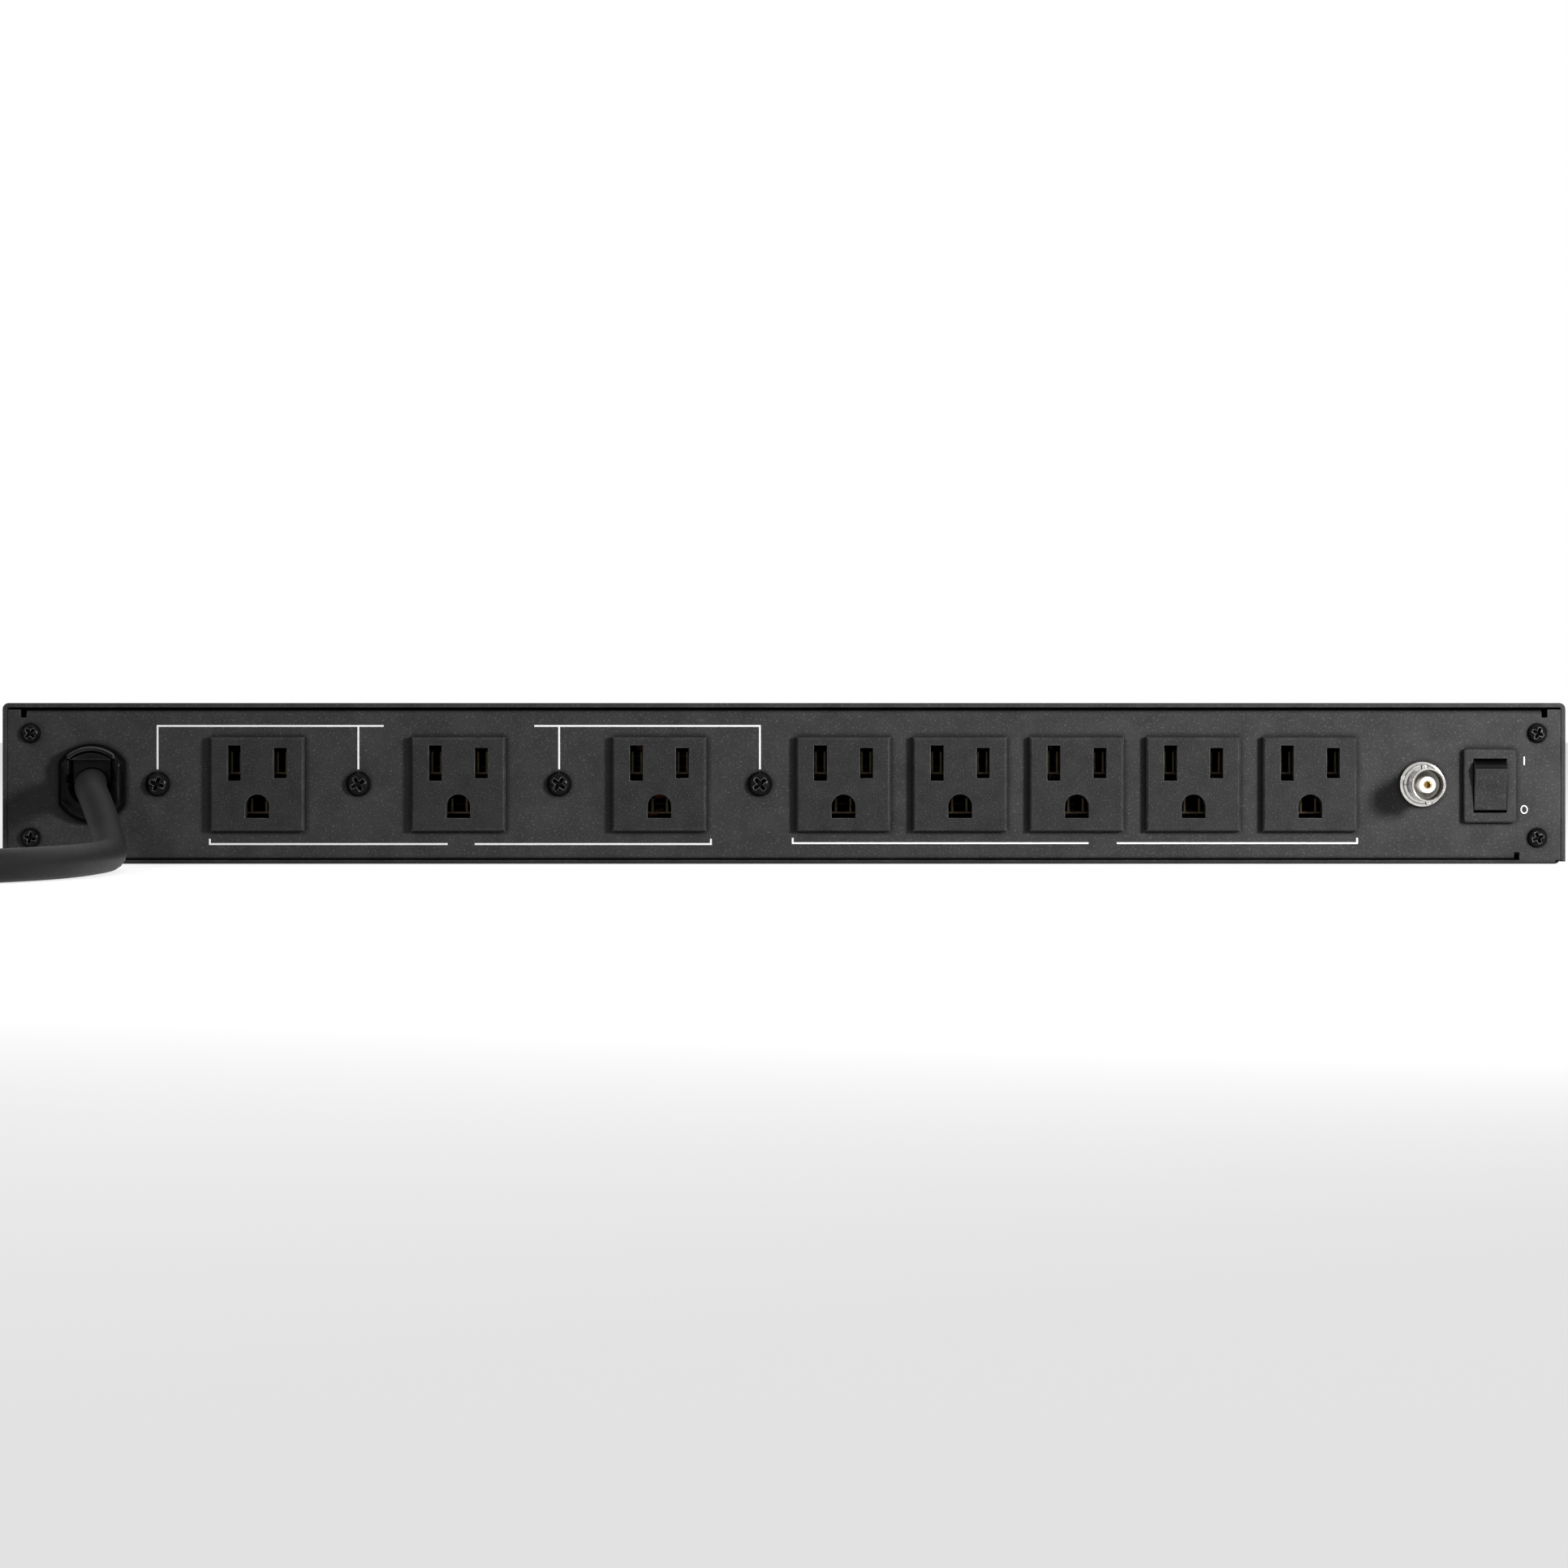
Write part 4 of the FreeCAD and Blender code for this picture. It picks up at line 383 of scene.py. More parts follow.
def relief_head():
    """Rings round the cord's axis. The outer ring is a circle cut by two upright flats; the inner one is
    the channel: a half circle below, straight sides, and an arch on top. Rows run from the back of the
    neck over the panel's face, up the side, over the bevel, across the front and down the channel."""
    angle = np.linspace(0, 2 * np.pi, 145)
    across, up = np.cos(angle), np.sin(angle)
    wide = np.maximum(np.abs(across), 1e-9)
    outer = np.minimum(RELIEF_RADIUS, RELIEF_FLAT / wide)
    arch_low = CHANNEL_TOP - CHANNEL_ARCH
    arch = arch_low * up + np.sqrt((arch_low * up) ** 2 + CHANNEL_ARCH ** 2 - arch_low ** 2)
    inner = np.minimum(CHANNEL_HALF / wide, np.where(up > 0, arch, CHANNEL_ROUND))
    ring = np.ones_like(angle)
    rows = [
        (0 * ring, RELIEF_REACH), (RELIEF_NECK * 0.95 * ring, RELIEF_REACH),
        (RELIEF_NECK * 1.06 * ring, 2.6 * MM), (RELIEF_NECK * 1.06 * ring, 1.4 * MM),
        (RELIEF_NECK * ring, 1.3 * MM), (RELIEF_NECK * ring, 0.0),
        (outer, 0.0), (outer, -2.0 * MM), (outer - 0.10 * MM, -2.4 * MM), (outer - 1.35 * MM, -3.85 * MM),
        (outer - 1.6 * MM, -4.1 * MM), (outer - 1.95 * MM, -RELIEF_PROUD), (inner + 1.3 * MM, -RELIEF_PROUD),
        (inner + 0.75 * MM, -RELIEF_PROUD + 0.12 * MM), (inner + 0.3 * MM, -RELIEF_PROUD + 0.45 * MM),
        (inner + 0.06 * MM, -RELIEF_PROUD + 0.9 * MM), (inner, -RELIEF_PROUD + 1.4 * MM),
        (inner, CHANNEL_DEPTH), (0 * ring, CHANNEL_DEPTH),
    ]
    radius = np.array([row[0] for row in rows])
    along = np.array([row[1] for row in rows])[:, None] * ring
    return np.stack([relief_x + radius * across, back_y + along, relief_z + radius * up], axis=-1)


def relief_clamp():
    """Columns run across and rows run up. The lower rows lie back, from the arch over the cord to a level
    step. Above it the front stands out, then rounds over into the arch under the channel's top, and it is
    eased at its two upright sides."""
    across = np.linspace(-1, 1, 41) * (CHANNEL_HALF - CLAMP_GAP)
    arch_low = CHANNEL_TOP - CHANNEL_ARCH
    top = arch_low + np.sqrt((CHANNEL_ARCH - CLAMP_GAP) ** 2 - across ** 2)
    low = np.sqrt(np.maximum((CORD_RADIUS + CLAMP_GAP) ** 2 - across ** 2, 0.0))
    up = np.concatenate([low[None], CLAMP_STEP - 0.02 * MM + 0 * low[None],
                         CLAMP_STEP + (top - CLAMP_STEP) * np.array(CLAMP_ROWS)[:, None]])
    edge = np.clip((np.abs(across) - 0.88 * CHANNEL_HALF) / (0.1 * CHANNEL_HALF), 0, 1) ** 2 * 0.35 * MM
    lean = np.array([CLAMP_RECESS, CLAMP_RECESS, *CLAMP_LEAN])[:, None]
    face = np.stack([relief_x + across + 0 * up, back_y - CLAMP_PROUD + lean + edge + 0 * up, relief_z + up],
                    axis=-1)
    behind = face.copy()
    behind[..., 1] = back_y + CHANNEL_DEPTH - 0.2 * MM
    return boxed(face, behind)


mounted(welded("relief_head", [relief_head()]), nylon_gloss, "black_gloss_plastic", "root", "strain_relief")
mounted(welded("relief_clamp", relief_clamp()), nylon_gloss, "black_gloss_plastic", "root",
        "strain_relief_wedge")

# ---------------------------------------------------------------- lamp socket
# A bayonet socket turned from brass and plated with bright nickel: a stepped flange against the panel,
# a thin barrel with a lug above and below, a white insulator set back inside, and a sprung centre contact.
NICKEL = (0.56, 0.55, 0.53)
INSULATOR_WHITE = (0.80, 0.78, 0.72)
BARREL_RADIUS = 4.7 * MM
BORE_RADIUS = 4.15 * MM
LUG_TURN = math.radians(7)
LUG_FROM_TIP = 4.8 * MM
LUG_RADIUS = 1.0 * MM
PIN_BORE_DEPTH = 4.0 * MM


def turned(profile, x, z, steps=96):
    """A profile of (radius, place along Y) points turned once about the line through x and z along Y."""
    angle = np.linspace(0, 2 * np.pi, steps + 1)
    radius, along = np.array(profile, float).T
    return np.stack([x + radius[:, None] * np.cos(angle), along[:, None] + 0 * angle,
                     z + radius[:, None] * np.sin(angle)], axis=-1)


socket_low, socket_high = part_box("bnc_shell")
insulator_low, insulator_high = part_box("bnc_insulator")
contact_low, contact_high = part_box("bnc_contact")
socket_x = (insulator_low.x + insulator_high.x) / 2
socket_z = (insulator_low.z + insulator_high.z) / 2
socket_tip = socket_low.y
flange = (socket_high.x - socket_low.x) / 2
insulator_radius = (insulator_high.x - insulator_low.x) / 2
contact_radius = (contact_high.x - contact_low.x) / 2
bright_nickel = plated("bright_nickel", NICKEL, 0.13, 900)
insulator_plastic = moulded("insulator_plastic", INSULATOR_WHITE, 0.45, gloss=0.4, grain=1200, shade=0.06)
# Round the section: the rim of the mouth, down the barrel, over the stepped flange, back up the bore.
shell_profile = eased([
    (BORE_RADIUS, socket_tip + 0.15 * MM), (BORE_RADIUS + 0.12 * MM, socket_tip),
    (BARREL_RADIUS - 0.1 * MM, socket_tip), (BARREL_RADIUS, socket_tip + 0.2 * MM),
    (BARREL_RADIUS, socket_tip + 1.1 * MM), (BARREL_RADIUS - 0.15 * MM, socket_tip + 1.3 * MM),
    (BARREL_RADIUS - 0.15 * MM, back_y - 3.4 * MM), (BARREL_RADIUS + 0.5 * MM, back_y - 2.9 * MM),
    (flange - 0.8 * MM, back_y - 2.6 * MM), (flange - 0.8 * MM, back_y - 1.5 * MM),
    (flange - 0.1 * MM, back_y - 1.4 * MM), (flange, back_y - 1.2 * MM), (flange, back_y - 0.01 * MM),
    (insulator_radius + 0.02 * MM, back_y - 0.01 * MM), (insulator_radius + 0.02 * MM, back_y - 5.4 * MM),
    (BORE_RADIUS, back_y - 5.6 * MM), (BORE_RADIUS, socket_tip + 0.15 * MM),
], 0.12 * MM, 3)
mounted(welded("socket_shell", [turned(shell_profile, socket_x, socket_z)], 60), bright_nickel, "nickel",
        "root", "bnc_shell")
lug_profile = eased([
    (0.0, flange - 0.7 * MM), (LUG_RADIUS - 0.2 * MM, flange - 0.7 * MM), (LUG_RADIUS, flange - 0.95 * MM),
    (LUG_RADIUS, BARREL_RADIUS - 0.35 * MM), (0.0, BARREL_RADIUS - 0.35 * MM)], 0.15 * MM, 3)


def lugs():
    """Two short pins: a small turned profile whose axis points away from the barrel, up and down."""
    angle = np.linspace(0, 2 * np.pi, 25)
    radius, out = lug_profile.T
    grids = []
    for side in (1, -1):
        across = radius[:, None] * np.cos(angle)
        reach = side * (out[:, None] + 0 * angle)
        grids.append(np.stack([
            socket_x + across * math.cos(LUG_TURN) - reach * math.sin(LUG_TURN),
            socket_tip + LUG_FROM_TIP + radius[:, None] * np.sin(angle),
            socket_z + across * math.sin(LUG_TURN) + reach * math.cos(LUG_TURN)], axis=-1))
    return grids


mounted(welded("socket_lugs", lugs()), bright_nickel, "nickel", "root")
insulator_profile = eased([
    (contact_radius, insulator_low.y + 0.25 * MM), (contact_radius + 0.2 * MM, insulator_low.y),
    (insulator_radius - 0.2 * MM, insulator_low.y), (insulator_radius, insulator_low.y + 0.25 * MM),
    (insulator_radius, insulator_high.y), (contact_radius, insulator_high.y),
    (contact_radius, insulator_low.y + 0.25 * MM)], 0.12 * MM, 3)
mounted(welded("socket_insulator", [turned(insulator_profile, socket_x, socket_z, 64)]), insulator_plastic,
        "white_plastic", "root", "bnc_insulator")
pin_profile = [
    (0.0, contact_low.y + PIN_BORE_DEPTH), (contact_radius * 0.6, contact_low.y + PIN_BORE_DEPTH),
    (contact_radius * 0.62, contact_low.y + 0.2 * MM), (contact_radius * 0.75, contact_low.y),
    (contact_radius * 0.97, contact_low.y), (contact_radius * 0.97, contact_high.y), (0.0, contact_high.y)]
mounted(welded("socket_contact", [turned(pin_profile, socket_x, socket_z, 48)]), contact_brass, "brass",
        "root", "bnc_contact")

# ---------------------------------------------------------------- lamp switch
# A snap-in rocker switch in satin black: a bezel against the panel and a rocker on pins inside it, at
# rest with its lower end pressed in. The rocker's raised upper end is painted near black gloss, as painted
# shade. The tags inside are brass.
SWITCH_BLACK = (0.024, 0.024, 0.0245)
SWITCH_WORN = (0.20, 0.20, 0.20)
ROCKER_SHADED_END = 2.65 * MM
switch_plastic = textured("switch_plastic", SWITCH_BLACK, SWITCH_WORN, 0.42, 0.12, 2400, 260, wear=0.5,
                          depth=0.05 * MM)
dress(switch_plastic, "lamp_switch_housing", "lamp_switch_rocker")
rocker_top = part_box("lamp_switch_rocker")[1].z
# Painted shade: the faces of the raised upper end take the near-black gloss nylon, where that end lies in its
# own shadow.
painted_where("lamp_switch_rocker", nylon_gloss, lambda middle: middle[:, 2] > rocker_top - ROCKER_SHADED_END)
dress(contact_brass, "switch_terminals")

# ---------------------------------------------------------------- screws and nuts
# Pan head screws with a cross recess, in black oxide with a trace of oil, hold the plug straps and the
# corners of both panels. Nuts and spring clips are zinc plated.
SCREW_BLACK = (0.004, 0.004, 0.0041)
SCREW_WEAR_AND_GLINT = (0.42, 0.42, 0.42)
STRAP_HEAD = 6.9 * MM
CORNER_HEAD = 5.5 * MM
STRAP_TURNS = (0.35, 1.1, 0.62, 0.9)
CORNER_TURNS = (0.25, 0.8, 1.2, 0.45)
# Shares of a head's radius: the grid's lines from the middle to the rim, and the arms of the recess.
HEAD_LINES = (0, 0.06, 0.095, 0.125, 0.16, 0.22, 0.30, 0.40, 0.50, 0.60, 0.70, 0.79, 0.87, 0.93, 0.97, 1.0)
RECESS_ARM = 0.56
RECESS_HALF = 0.16
RECESS_WALL = 0.05
RECESS_TAPER = 0.34
HEAD_RISE = 0.34
RECESS_DEPTH = 0.78
# The edges of the heads and recesses are painted light, partly as worn oxide and partly as painted glints.
oiled_steel = textured("oiled_black_steel", SCREW_BLACK, SCREW_WEAR_AND_GLINT, 0.18, 0.07, 1400, 900, wear=0.9,
                       depth=0.02 * MM, speckle=0.0)


def cross_head(middle, facing, head, turn):
    """A square grid drawn out to a disc: near the middle its lines stay straight, along the cross, and
    at the rim they lie on the circle. The height is a flattened dome, less a tapered cross that is
    deepest in the middle. A flat copy of the grid closes the head underneath."""
    half = np.array(HEAD_LINES)
    line = np.concatenate([-half[:0:-1], half])
    u, v = np.meshgrid(line, line, indexing="ij")
    reach = np.maximum(np.abs(u), np.abs(v))
    length = np.maximum(np.hypot(u, v), 1e-9)
    share = reach ** 5
    p = u * (1 - share) + share * reach * u / length
    q = v * (1 - share) + share * reach * v / length
    rho = np.minimum(np.hypot(p, q), 1.0)
    narrow, far = np.minimum(np.abs(p), np.abs(q)), np.maximum(np.abs(p), np.abs(q))
    rise = head * HEAD_RISE
    dome = rise * (1 - rho ** 3.0) ** 0.55
    walls = np.clip((RECESS_HALF - narrow) / RECESS_WALL, 0, 1)
    recess = walls * np.clip((RECESS_ARM - far) / RECESS_TAPER, 0, 1) ** 0.7
    height = dome - rise * RECESS_DEPTH * recess
    outward = np.array(facing, float)
    side = np.cross(outward, (0.0, 0.0, 1.0))
    a = math.cos(turn) * side + math.sin(turn) * np.array([0.0, 0.0, 1.0])
    b = np.cross(outward, a)
    flat = np.array(middle) + (p * head / 2)[..., None] * a + (q * head / 2)[..., None] * b
    return [flat + height[..., None] * outward, flat + 0 * outward]


strap_low, strap_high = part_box("strap_screws")
outlet_low, outlet_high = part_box("outlet_a1")
outlet_level = (outlet_low.z + outlet_high.z) / 2
strap_half = (strap_high.x - strap_low.x - STRAP_HEAD) / 2
strap_centre = (strap_high.x + strap_low.x) / 2
strap_x = [strap_centre + step * strap_half for step in (-1, -1 / 3, 1 / 3, 1)]
straps = []
for x, turn in zip(strap_x, STRAP_TURNS):
    straps += cross_head((x, back_y, outlet_level), (0, -1, 0), STRAP_HEAD, turn)
mounted(welded("strap_screw_heads", straps, 30), oiled_steel, "black_screw", "root", "strap_screws")

corner_low, corner_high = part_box("corner_screws")
corner_places = [(x, z) for x in (corner_low.x + CORNER_HEAD / 2, corner_high.x - CORNER_HEAD / 2)
                 for z in (corner_low.z + CORNER_HEAD / 2, corner_high.z - CORNER_HEAD / 2)]
corners = []
for (x, z), turn in zip(corner_places, CORNER_TURNS):
    corners += cross_head((x, back_y, z), (0, -1, 0), CORNER_HEAD, turn)
mounted(welded("corner_screw_heads", corners, 30), oiled_steel, "black_screw", "root", "corner_screws")
dress(zinc_plate, "panel_fasteners")

# ---------------------------------------------------------------- printed lines
# White screen printed ink: brackets that gather each bank of outlets, a bracket that points at the four
# strap screws, and the plain on and off marks beside the lamp switch.
INK_WHITE = (0.86, 0.86, 0.85)
INK_THICK = 0.04 * MM
INK_WIDTH = 0.5 * MM
STRAP_BRACKET = 38.1 * MM
STRAP_TICK = 26.1 * MM
BANK_A_BRACKET = 5.45 * MM
BANK_B_BRACKET = 5.7 * MM
BANK_TICK = 1.45 * MM
STRAP_GAP = (-110.7 * MM, -69.0 * MM)
BANK_A_GAP = (-93.0 * MM, -85.5 * MM)
BANK_B_GAP = (84.2 * MM, 92.0 * MM)
BANK_A_PAST = (0.3 * MM, 1.2 * MM)
BANK_B_PAST = (1.0 * MM, 0.2 * MM)
MARK_ASIDE = 2.4 * MM
BAR_LEVELS = (27.3 * MM, 29.6 * MM)
BAR_WIDTH = 0.38 * MM
RING_LEVEL = 15.0 * MM
RING_HALF_WIDE, RING_HALF_TALL = 0.85 * MM, 1.05 * MM
RING_WIDTH = 0.30 * MM


def inked(points, width=INK_WIDTH, closed=False):
    """A line of even width along points on the panel: at each point its two sides are set out along the
    mitre of the neighbouring runs, and the strip has the ink's thickness."""
    points = np.array(points, float)
    if closed:
        points = np.concatenate([points, points[:1]])
    run = np.diff(points, axis=0)
    run /= np.linalg.norm(run, axis=1)[:, None]
    before = np.concatenate([run[-1:] if closed else run[:1], run])
    after = np.concatenate([run, run[:1] if closed else run[-1:]])
    middle = before + after
    middle /= np.linalg.norm(middle, axis=1)[:, None]
    sideways = np.stack([-middle[:, 1], middle[:, 0]], axis=1) / (middle * after).sum(axis=1)[:, None]
    edges = points[:, None] + sideways[:, None] * np.array([-0.5, 0.5])[None, :, None] * width
    front = np.stack([edges[..., 0], np.full(edges.shape[:2], back_y - INK_THICK), edges[..., 1]], axis=-1)
    back = front.copy()
    back[..., 1] = back_y + 0.02 * MM
    if not closed:
        return boxed(front, back)
    return [front, back, np.stack([front[:, 0], back[:, 0]]), np.stack([front[:, 1], back[:, 1]])]


def bracket(left, right, level, tick, gap):
    """The two halves of a bracket. Each starts or ends at the level of the tick, and a gap parts them."""
    return [inked([(left, tick), (left, level), (gap[0], level)]),
            inked([(gap[1], level), (right, level), (right, tick)])]


def bank_bracket(first, last, past, level, gap):
    """A bracket under a row of outlets that runs a little past the first and the last."""
    return bracket(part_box(first)[0].x - past[0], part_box(last)[1].x + past[1], level, level + BANK_TICK, gap)


mark_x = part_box("lamp_switch_housing")[1].x + MARK_ASIDE
oval = np.linspace(0, 2 * np.pi, 33)[:-1]
ring_mark = np.stack([mark_x + RING_HALF_WIDE * np.cos(oval),
                      RING_LEVEL + RING_HALF_TALL * np.sin(oval)], axis=1)
ink = bracket(strap_x[0], strap_x[3], STRAP_BRACKET, STRAP_TICK, STRAP_GAP)
ink += [inked([(x, STRAP_BRACKET - INK_WIDTH / 2), (x, STRAP_TICK)]) for x in strap_x[1:3]]
ink += bank_bracket("outlet_a1", "outlet_a3", BANK_A_PAST, BANK_A_BRACKET, BANK_A_GAP)
ink += bank_bracket("outlet_b1", "outlet_b5", BANK_B_PAST, BANK_B_BRACKET, BANK_B_GAP)
ink += [inked([(mark_x, level) for level in BAR_LEVELS], BAR_WIDTH),
        inked(ring_mark, RING_WIDTH, closed=True)]


def printed(name, colour):
    """Screen printed ink: chalky white with thin places where the mesh left less of it."""
    made, tree, shader = finish(name, colour, 0.6, gloss=0.3)
    patchy = noise(tree, 2200, 3.0)
    tree.links.new(blended(tree, ranged(tree, patchy, 0.55, 0.75, 0.0, 0.8), colour, shaded(colour, 0.74)),
                   shader.inputs["Base Color"])
    return made


mounted(welded("printed_lines", [grid for line in ink for grid in line]), printed("white_ink", INK_WHITE),
        None, "root")

# ---------------------------------------------------------------- front panel
# A 3 mm aluminium plate with slotted rack ears, brushed along its length and anodised black. It carries
# the main switch, the breaker, one outlet, the dimmer and the two pull-out lamps.
ANODISED = (0.030, 0.030, 0.032)


def brushed(name, colour, roughness, stretch):
    """Anodised metal brushed one way: long fine streaks in its shade, roughness and height, and a paler
    line where the coat is rubbed off its edges."""
    made, tree, shader = finish(name, colour, roughness, metal=0.75, gloss=0.5)
    streaks = noise(tree, 1.0, 4.0, stretch)
    near_edge = softened(tree, shader, 0.4 * MM, streaks, 0.02 * MM, 0.35)
    lined = blended(tree, ranged(tree, streaks, *COMMON, 0.0, 1.0), shaded(colour, 0.75),
                    shaded(colour, 1.35))
    edge_lightening = grown(tree, "Math", operation="MULTIPLY", _0=near_edge, _1=0.5).outputs[0]
    tree.links.new(blended(tree, edge_lightening, lined, shaded(colour, 4)), shader.inputs["Base Color"])
    tree.links.new(ranged(tree, streaks, *WIDE, roughness - 0.08, roughness + 0.1),
                   shader.inputs["Roughness"])
    return made


dress(brushed("brushed_anodised", ANODISED, 0.40, (14.0, 900.0, 2600.0)), "front_panel")
dress(outlet_nylon, "front_outlet")
dress(switch_plastic, "main_switch_housing", "main_switch_rocker")

# ---------------------------------------------------------------- breaker and dimmer
# The push-to-reset breaker is moulded in black with a button that pops out. The dimmer is a small
# potentiometer with a fluted black knob on its plated shaft.
KNOB_BLACK = (0.022, 0.022, 0.023)
KNOB_FLUTES = 14
FLUTE_DEPTH = 0.55 * MM
POINTER_WHITE = (0.85, 0.85, 0.84)
POINTER_WIDTH = 0.9 * MM
POINTER_REACH = (0.30, 0.66)
POINTER_DEPTH = 0.3 * MM
knob_plastic = moulded("knob_plastic", KNOB_BLACK, 0.38, gloss=0.4)
dress(knob_plastic, "breaker_body", "breaker_button")
dress(zinc_plate, "dimmer_potentiometer", "dimmer_shaft")
knob_low, knob_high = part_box("dimmer_knob")
knob_x = (knob_low.x + knob_high.x) / 2
knob_z = (knob_low.z + knob_high.z) / 2
knob_radius = (knob_high.x - knob_low.x) / 2


def knob():
    """A turned profile whose radius is scalloped: a row of round flutes runs up the grip and fades out at
    the skirt and at the top edge."""
    profile = eased([
        (0.0, knob_high.y - 0.2 * MM), (knob_radius * 0.45, knob_high.y), (knob_radius * 0.70, knob_high.y),
        (knob_radius * 0.80, knob_high.y - 1.0 * MM), (knob_radius * 0.86, knob_low.y + 2.9 * MM),
        (knob_radius * 0.92, knob_low.y + 2.3 * MM), (knob_radius, knob_low.y + 1.9 * MM),
        (knob_radius, knob_low.y), (0.0, knob_low.y)], 0.5 * MM, 4)
    angle = np.linspace(0, 2 * np.pi, KNOB_FLUTES * 12 + 1)
    radius, along = profile.T
    grip = (np.clip((knob_high.y - along) / (1.2 * MM), 0, 1)
            * np.clip((along - knob_low.y - 2.4 * MM) / (0.5 * MM), 0, 1))
    scallop = (0.5 + 0.5 * np.cos(KNOB_FLUTES * angle)) ** 3 * FLUTE_DEPTH
    swept = np.maximum(radius[:, None] - grip[:, None] * scallop, 0.0)
    return np.stack([knob_x + swept * np.cos(angle), along[:, None] + 0 * angle,
                     knob_z + swept * np.sin(angle)], axis=-1)


mounted(welded("dimmer_knob_moulding", [knob()]), knob_plastic, "black_matte_plastic", "dimmer",
        "dimmer_knob")


def pointer():
    """A thin raised bar from near the middle of the knob's top to its upper edge."""
    across = np.array([-0.5, 0.5]) * POINTER_WIDTH
    up = np.array(POINTER_REACH) * knob_radius
    x, z = np.meshgrid(across, up)
    face = np.stack([knob_x + x, np.full(x.shape, knob_high.y - 0.01 * MM), knob_z + z], axis=-1)
    behind = face.copy()
    behind[..., 1] -= POINTER_DEPTH
    return boxed(face, behind)


mounted(welded("dimmer_pointer", pointer()), printed("pointer_ink", POINTER_WHITE), None, "dimmer")

# ---------------------------------------------------------------- pull-out lamps
# Each lamp is a black anodised tube with a window along one side. It slides in a zinc plated guide on a
# nylon carrier, turns in it, and is pulled by its waisted cap. A white holder grips its clear bulb.
GLASS = (0.95, 0.95, 0.93)
HOLDER_WHITE = (0.75, 0.74, 0.70)
HOLDER_LONG = 12.05 * MM
HOLDER_FLOOR = 8.05 * MM
HOLDER_BORE = 4.02 * MM
lamp_tube = brushed("lamp_tube_anodised", ANODISED, 0.34, (900.0, 14.0, 900.0))
bulb_glass, glass_tree, glass_shader = finish("bulb_glass", GLASS, 0.04)
glass_shader.inputs["Transmission Weight"].default_value = 0.9
glass_tree.links.new(ranged(glass_tree, noise(glass_tree, 300, 2.0), *COMMON, 0.02, 0.07),
                     glass_shader.inputs["Roughness"])
holder_plastic = moulded("holder_plastic", HOLDER_WHITE, 0.4, grain=700)
for side in ("left", "right"):
    dress(lamp_tube, side + "_lamp_tube", side + "_lamp_cap")
    dress(zinc_plate, side + "_lamp_guide")
    dress(holder_plastic, side + "_lamp_carrier")
    dress(bulb_glass, side + "_lamp_bulb")
    bulb_low, bulb_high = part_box(side + "_lamp_bulb")
    bulb_x, bulb_z = (bulb_low.x + bulb_high.x) / 2, (bulb_low.z + bulb_high.z) / 2
    painted_where(side + "_lamp_bulb", holder_plastic,
                  lambda middle: (middle[:, 1] < bulb_low.y + HOLDER_LONG) & (
                      (np.hypot(middle[:, 0] - bulb_x, middle[:, 2] - bulb_z) > HOLDER_BORE)
                      | (middle[:, 1] < bulb_low.y + HOLDER_FLOOR)))

# ---------------------------------------------------------------- wiring
# Stranded wires in black PVC join the rows of contact tabs, the board and the switch. They show only
# when the cover is off, so they share one plain finish.
WIRE_BLACK = (0.022, 0.022, 0.023)
dress(moulded("wire_pvc", WIRE_BLACK, 0.36, gloss=0.45, grain=500), "inside_wiring")

# ---------------------------------------------------------------- cover
# The top and sides are folded from one sheet and slid over the tray, level with the back panel, and the
# same black screws hold it to the tray's walls and the tray to the front panel.
SIDE_SCREWS = ((-1, 1 / 8, 0.3), (-1, 7 / 8, 1.0), (1, 1 / 8, 0.7), (1, 7 / 8, 0.15))
FRONT_TURNS = (0.5, 1.25, 0.9, 0.05)
dress(powder_coat, "top_cover")
case_heads = []
for facing, share, turn in SIDE_SCREWS:
    middle = (facing * case_half, back_y + (cover_high.y - back_y) * share, case_top / 2)
    case_heads += cross_head(middle, (facing, 0, 0), CORNER_HEAD, turn)
plate_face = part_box("front_panel")[1].y
for (x, z), turn in zip(corner_places, FRONT_TURNS):
    case_heads += cross_head((x, plate_face, z), (0, 1, 0), CORNER_HEAD, turn)
mounted(welded("case_screw_heads", case_heads, 30), oiled_steel, "black_screw", "root", "case_screws")

# ---------------------------------------------------------------- mains cord
# A fixed three-core mains lead in dull dark grey PVC. It leaves the strain relief, drops to the surface,
# runs off to the left and ends in a tied coil of two layers, with the moulded plug beside it. The route,
# the coil and the tie are in millimetres, until they are made into meshes.
JACKET = (0.013, 0.013, 0.0134)
TIE_BLACK = (0.03, 0.03, 0.03)
PLUG_NICKEL = (0.70, 0.69, 0.66)
ROUTE = [
    (-191.1, -98.0, 22.3), (-191.1, -112.5, 22.3), (-187.4, -126.3, 19.3), (-183.6, -136.5, 13.2),
    (-180.4, -146.0, 7.4), (-178.3, -157.5, 4.4), (-177.4, -175.5, 4.3), (-178.4, -199.5, 4.3),
    (-183.2, -226.5, 4.3), (-196.0, -252.0, 4.3), (-216.0, -270.0, 4.3), (-239.5, -277.6, 4.3),
    (-262.0, -278.0, 4.3),
]
TAIL = [(-353.4, -189.0, 12.4), (-353.4, -178.0, 12.0), (-353.2, -167.0, 11.4), (-353.0, -157.0, 11.0)]
COIL_X, COIL_Y = -286.0, -211.0
COIL_OUTER, COIL_INNER = 67.0, 33.0
LAYER_TURNS = 4
POINTS_PER_TURN = 18
LOWER_LEVEL, UPPER_LEVEL = 5.2, 13.8
CLIMB_TURNS, SETTLE_TURNS = 0.24, 0.1
BOOT_SHARE = 26.0 / 62.0
BOOT_START, BOOT_SWELL = 5.2 * MM, 1.6 * MM
BOOT_RIBS, RIB_DEPTH = 7, 0.45 * MM
